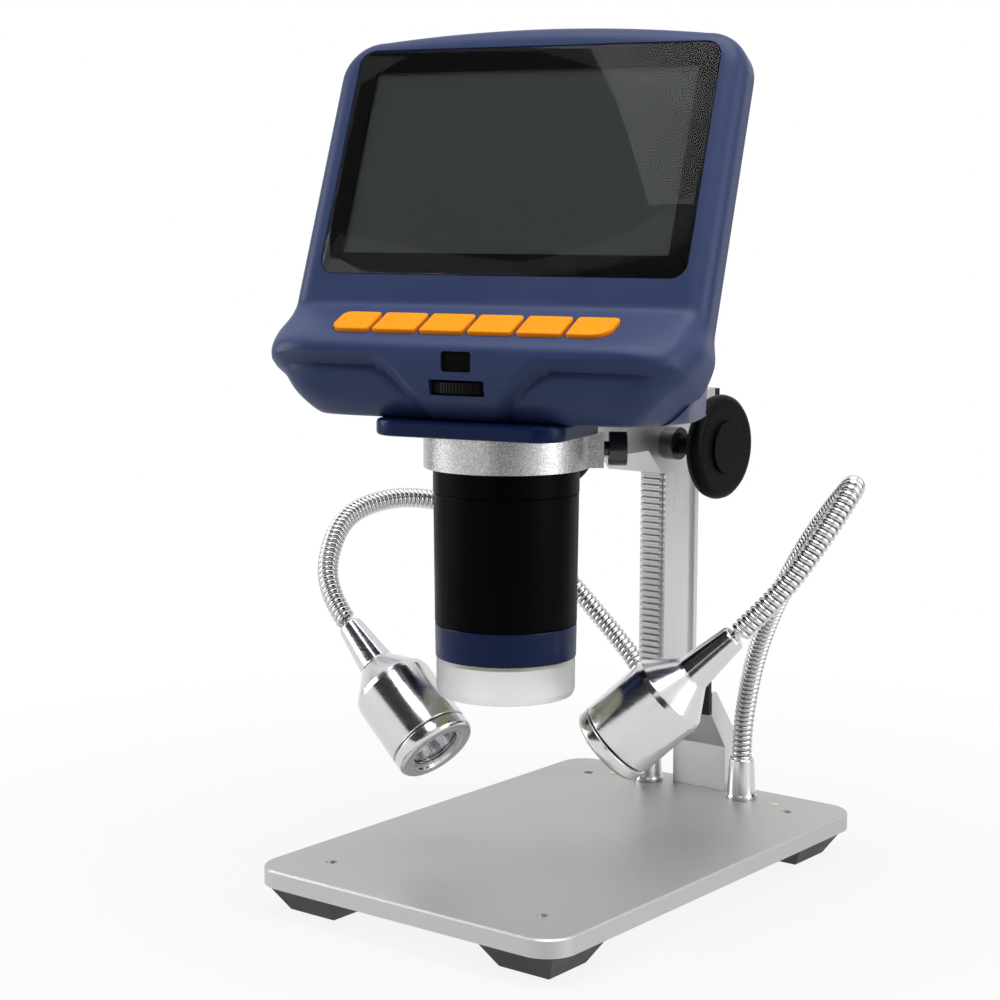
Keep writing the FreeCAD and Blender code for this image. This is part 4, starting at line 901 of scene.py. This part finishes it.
def route_curve(side):
    """The hose's middle line as a smooth curve in the row frame."""
    line = bpy.data.curves.new(f"hose_line_{side}", "CURVE")
    line.dimensions = "3D"
    spline = line.splines.new("NURBS")
    points = HOSE_ROUTES[side]
    spline.points.add(len(points) - 1)
    for point, (x, y, z) in zip(spline.points, points):
        point.co = (x * MM, y * MM, (z + PLATE_TOP) * MM, 1)
    spline.order_u = 3
    spline.use_endpoint_u = True
    line.resolution_u = 24
    thing = bpy.data.objects.new(line.name, line)
    bpy.context.scene.collection.objects.link(thing)
    return thing


class SCOPE_OT_hoses(bpy.types.Operator):
    """Winds the two steel hoses and turns their ferrules"""

    bl_idname = "scope.hoses"
    bl_label = "Wound hoses"

    def execute(self, context):
        pitch = context.scene.scope_sizes.coil_pitch * MM
        for side in SIDES:
            route = HOSE_ROUTES[side]
            line = route_curve(side)
            bpy.context.view_layer.update()
            shape = bpy.data.meshes.new_from_object(line)
            length = sum((shape.vertices[e.vertices[0]].co - shape.vertices[e.vertices[1]].co).length
                         for e in shape.edges)
            bpy.data.meshes.remove(shape)
            turns = round(length / pitch)
            step = length / turns
            bead = [((2.42 + 0.68 * math.cos(t)) * MM, 0, (0.5 + 0.47 * math.sin(t)) * step)
                    for t in np.linspace(0, 2 * math.pi, 8, endpoint=False)]
            coil = start(f"wound_hose_{side}", bead)
            winding = coil.modifiers.new("Winding", "SCREW")
            winding.axis, winding.screw_offset, winding.iterations = "Z", step, turns - 1
            winding.steps = winding.render_steps = 22
            winding.use_merge_vertices, winding.use_normal_calculate = False, True
            only(coil)
            bpy.ops.object.modifier_apply(modifier=winding.name)
            bend = coil.modifiers.new("Route", "CURVE")
            bend.object, bend.deform_axis = line, "POS_Z"
            bpy.ops.object.modifier_apply(modifier=bend.name)
            bpy.ops.object.mode_set(mode="EDIT")
            bpy.ops.mesh.select_all(action="SELECT")
            bpy.ops.mesh.normals_make_consistent(inside=False)
            bpy.ops.object.mode_set(mode="OBJECT")
            bpy.ops.object.shade_smooth_by_angle(angle=math.radians(60))
            bpy.data.objects.remove(line)
            coated(coil, FINISH["polish"])
            lift = Vector((0, 0, PLATE_TOP))
            here, there = (Vector(route[n]) + lift for n in (HOSE_JOINT, HOSE_JOINT + 1))
            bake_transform(coil, f"lower_{side}", f"upper_{side}", start=here * MM, end=there * MM)
            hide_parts(f"hose_lower_{side}", f"hose_upper_{side}")
        for side in SIDES:
            outline = eased([(3.15, 0.02), (4.8, 0.02, 0.2), (4.8, 1.0, 0.3), (4.5, 1.6, 0.3),
                             (3.85, 12.2, 0.5), (3.5, 12.6, 0.2), (3.15, 12.6)], 3)
            ferrule = spun(f"ferrule_{side}", outline, 64)
            x, y, _ = HOSE_ROUTES[side][0]
            place = Matrix.Translation((x, y, PLATE_TOP))
            dressed(placed(ferrule, place), FINISH["polish"], "stand", "chrome",
                    *(["lamp_ferrules"] if side == "left" else []))
        return {"FINISHED"}


def lamp_place(side):
    """The lamp's own frame: from the neck, Z along the way it shines."""
    route = HOSE_ROUTES[side]
    aim = (Vector(route[-1]) - Vector(route[-2])).normalized()
    turn = Vector((0, 0, 1)).rotation_difference(aim).to_matrix().to_4x4()
    return Matrix.Translation(Vector(route[-1]) + Vector((0, 0, PLATE_TOP))) @ turn


class SCOPE_OT_lamps(bpy.types.Operator):
    """Turns the two spot lamps with their necks, bezels, bowls and glasses"""

    bl_idname = "scope.lamps"
    bl_label = "Lamps"

    def execute(self, context):
        for side in SIDES:
            place = lamp_place(side)
            outline = eased([(0, 0.35), (1.55, 0.35), (1.55, 1.3), (3.3, 1.3, 0.3), (3.65, 2.0, 0.3),
                             (5.2, 16.6, 0.6), (5.6, 17.3, 0.4), (11.3, 24.6, 1.2), (11.7, 26.2, 0.6),
                             (11.7, 44.55, 0.3), (11.2, 44.8), (10.3, 44.8), (10.3, 34.9), (0, 34.9)], 4)
            shell = spun(f"lamp_shell_{side}", outline, 96)
            dressed(placed(shell, place), FINISH["lamp"], f"lamp_{side}", "chrome", f"lamp_body_{side}")
            outline = eased([(7.65, 45.15), (11.25, 45.15), (11.7, 45.4, 0.2), (11.7, 48.2, 0.9),
                             (10.8, 49.2, 0.8), (8.4, 49.2, 0.4), (7.9, 48.4, 0.2), (7.0, 48.0),
                             (7.0, 47.6), (7.65, 47.6)], 3)
            bezel = spun(f"lamp_ring_{side}", outline, 96)
            dressed(placed(bezel, place), FINISH["lamp"], f"lamp_{side}", "chrome", f"lamp_bezel_{side}")
            bowl = spun(f"lamp_bowl_{side}", [(2.6, 36.7), (5.4, 40.2), (6.9, 44.9), (7.5, 44.9), (5.9, 39.8),
                                              (2.9, 36.5)], 64)
            dressed(placed(bowl, place), FINISH["polish"], f"lamp_{side}", "chrome")
            outline = eased([(0, 45.3), (7.5, 45.3), (7.5, 47.3, 0.3), (5.0, 47.5, 2), (0, 47.55)], 4)
            glass = spun(f"lamp_glass_{side}", outline, 64)
            dressed(placed(glass, place), FINISH["lens"], f"lamp_{side}", "clear_glass", f"lamp_lens_{side}")
            coated(NODES[f"lamp_led_{side}"], FINISH["led"])
        return {"FINISHED"}


# Studio: lights are (name, place, width, height, power), cards (name, place, width, height), in metres.

MIDDLE = (0, 0, 0.12)
LIGHTS = (
    ("Top", (0.1, -0.1, 0.85), 0.7, 0.7, 6.0),
    ("Left front", (-0.80, -0.50, 0.40), 0.4, 0.6, 4.5),
    ("Right", (0.85, 0.15, 0.35), 0.4, 0.7, 3.5),
)
CARDS = (
    ("card_left", (-0.62, -0.05, 0.25), 0.16, 0.7),
    ("card_right", (0.70, -0.45, 0.25), 0.12, 0.7),
    ("card_camera", (0.42, -0.66, 0.10), 0.50, 0.6),
    ("card_knob", (0.60, 0.75, 0.15), 0.50, 0.5),
    ("card_screen", (-0.23, -0.82, 0.78), 1.10, 1.00),
)


def rays(tree, *kinds):
    """One where the ray is of any of these kinds, zero elsewhere."""
    path = tree.nodes.new("ShaderNodeLightPath")
    found = path.outputs[kinds[0]]
    for kind in kinds[1:]:
        either = tree.nodes.new("ShaderNodeMath")
        either.operation = "MAXIMUM"
        tree.links.new(found, either.inputs[0])
        tree.links.new(path.outputs[kind], either.inputs[1])
        found = either.outputs[0]
    return found


def paper(name, share):
    """White paper: as bright as the background far out, and with a soft shadow near the object."""
    finish, tree, surface = blank(name)
    surface.inputs["Base Color"].default_value = (0.55, 0.55, 0.55, 1)
    surface.inputs["Roughness"].default_value = 0.9
    glow = tree.nodes.new("ShaderNodeEmission")
    mix = tree.nodes.new("ShaderNodeMixShader")
    part = tree.nodes.new("ShaderNodeMath")
    part.operation = "MULTIPLY"
    where, away = tree.nodes.new("ShaderNodeTexCoord"), tree.nodes.new("ShaderNodeVectorMath")
    away.operation = "LENGTH"
    tree.links.new(where.outputs["Object"], away.inputs[0])
    tree.links.new(span(tree, away.outputs["Value"], share, 1.0, 0.10, 0.30), part.inputs[1])
    link = tree.links.new
    link(rays(tree, "Is Camera Ray", "Is Glossy Ray", "Is Transmission Ray"), part.inputs[0])
    link(part.outputs[0], mix.inputs["Fac"])
    link(surface.outputs["BSDF"], mix.inputs[1])
    link(glow.outputs["Emission"], mix.inputs[2])
    link(mix.outputs["Shader"], tree.nodes["Material Output"].inputs["Surface"])
    return finish


def soft_lamp(name, spot, target, width, height, power):
    nothing_selected()
    bpy.ops.object.light_add(type="AREA", location=spot)
    lamp = bpy.context.object
    lamp.name = name
    lamp.data.shape, lamp.data.size, lamp.data.size_y, lamp.data.energy = "RECTANGLE", width, height, power
    lamp.rotation_euler = (Vector(target) - Vector(spot)).to_track_quat("-Z", "Y").to_euler()
    return lamp


class SCOPE_OT_stage(bpy.types.Operator):
    """Sets the camera, the pale floor and the soft studio light"""

    bl_idname = "scope.stage"
    bl_label = "Stage"

    def execute(self, context):
        scene = context.scene
        scene.view_settings.view_transform = "Standard"
        nothing_selected()
        turn = (Matrix.Rotation(math.radians(CAMERA_YAW), 4, "Z")
                @ Matrix.Rotation(math.radians(90 - CAMERA_DIP), 4, "X")
                @ Matrix.Rotation(math.radians(CAMERA_ROLL), 4, "Z"))
        bpy.ops.object.camera_add(location=CAMERA_AT, rotation=turn.to_euler())
        camera = bpy.context.object
        camera.data.sensor_width, camera.data.lens = 36.0, CAMERA_LENS
        camera.data.clip_start = 0.02
        scene.camera = camera
        bpy.ops.mesh.primitive_plane_add(size=6, location=(0, 0, -0.0002))
        floor = bpy.context.object
        floor.name = "paper_floor"
        floor.data.materials.append(paper("White paper", 0.88))
        world = scene.world or bpy.data.worlds.new("Studio")
        scene.world = world
        world.use_nodes = True
        tree = world.node_tree
        tree.nodes.clear()
        out, room = tree.nodes.new("ShaderNodeOutputWorld"), tree.nodes.new("ShaderNodeBackground")
        room.inputs["Color"].default_value = (1, 1, 1, 1)
        level = tree.nodes.new("ShaderNodeMapRange")
        level.inputs["To Min"].default_value, level.inputs["To Max"].default_value = 0.16, 1.0
        link = tree.links.new
        link(rays(tree, "Is Camera Ray", "Is Transmission Ray", "Is Glossy Ray"), level.inputs["Value"])
        link(level.outputs["Result"], room.inputs["Strength"])
        link(room.outputs["Background"], out.inputs["Surface"])
        for name, spot, wide, high, power in LIGHTS:
            soft_lamp(name, spot, MIDDLE, wide, high, power)
        black = bpy.data.materials.new("Black card")
        black.use_nodes = True
        black.node_tree.nodes["Principled BSDF"].inputs["Base Color"].default_value = (0.01, 0.01, 0.01, 1)
        for name, spot, wide, high in CARDS:
            nothing_selected()
            bpy.ops.mesh.primitive_plane_add(size=1, location=spot)
            card = bpy.context.object
            card.name = name
            card.rotation_euler = (Vector((0, 0, 0.15)) - Vector(spot)).to_track_quat("-Z", "Y").to_euler()
            card.scale = (wide, high, 1)
            card.data.materials.append(black)
            card.visible_camera = card.visible_shadow = card.visible_diffuse = False
        return {"FINISHED"}


class SCOPE_PT_panel(bpy.types.Panel):
    """Lists the pieces in the sidebar"""

    bl_idname = "SCOPE_PT_panel"
    bl_label = "Microscope"
    bl_space_type = "VIEW_3D"
    bl_region_type = "UI"
    bl_category = "Microscope"

    def draw(self, context):
        column = self.layout.column()
        for group in (context.scene.scope_sizes, context.scene.scope_colours):
            for name in group.bl_rna.properties.keys():
                if name not in ("rna_type", "name"):
                    column.prop(group, name)
        for piece in PIECES:
            column.operator(piece.bl_idname)


PIECES = (SCOPE_OT_stage, SCOPE_OT_stand, SCOPE_OT_case, SCOPE_OT_screen, SCOPE_OT_keys, SCOPE_OT_wheel,
          SCOPE_OT_skirt, SCOPE_OT_hoses, SCOPE_OT_lamps)
CLASSES = (ScopeSizes, ScopeColours, *PIECES, SCOPE_PT_panel)


def register():
    for each in CLASSES:
        bpy.utils.register_class(each)
    bpy.types.Scene.scope_sizes = bpy.props.PointerProperty(type=ScopeSizes)
    bpy.types.Scene.scope_colours = bpy.props.PointerProperty(type=ScopeColours)


def unregister():
    del bpy.types.Scene.scope_colours
    del bpy.types.Scene.scope_sizes
    for each in reversed(CLASSES):
        bpy.utils.unregister_class(each)


def main():
    register()
    FINISH.update(all_finishes(bpy.context.scene.scope_colours))
    for piece in PIECES:
        group, name = piece.bl_idname.split(".")
        getattr(getattr(bpy.ops, group), name)()


if __name__ == "__main__":
    main()
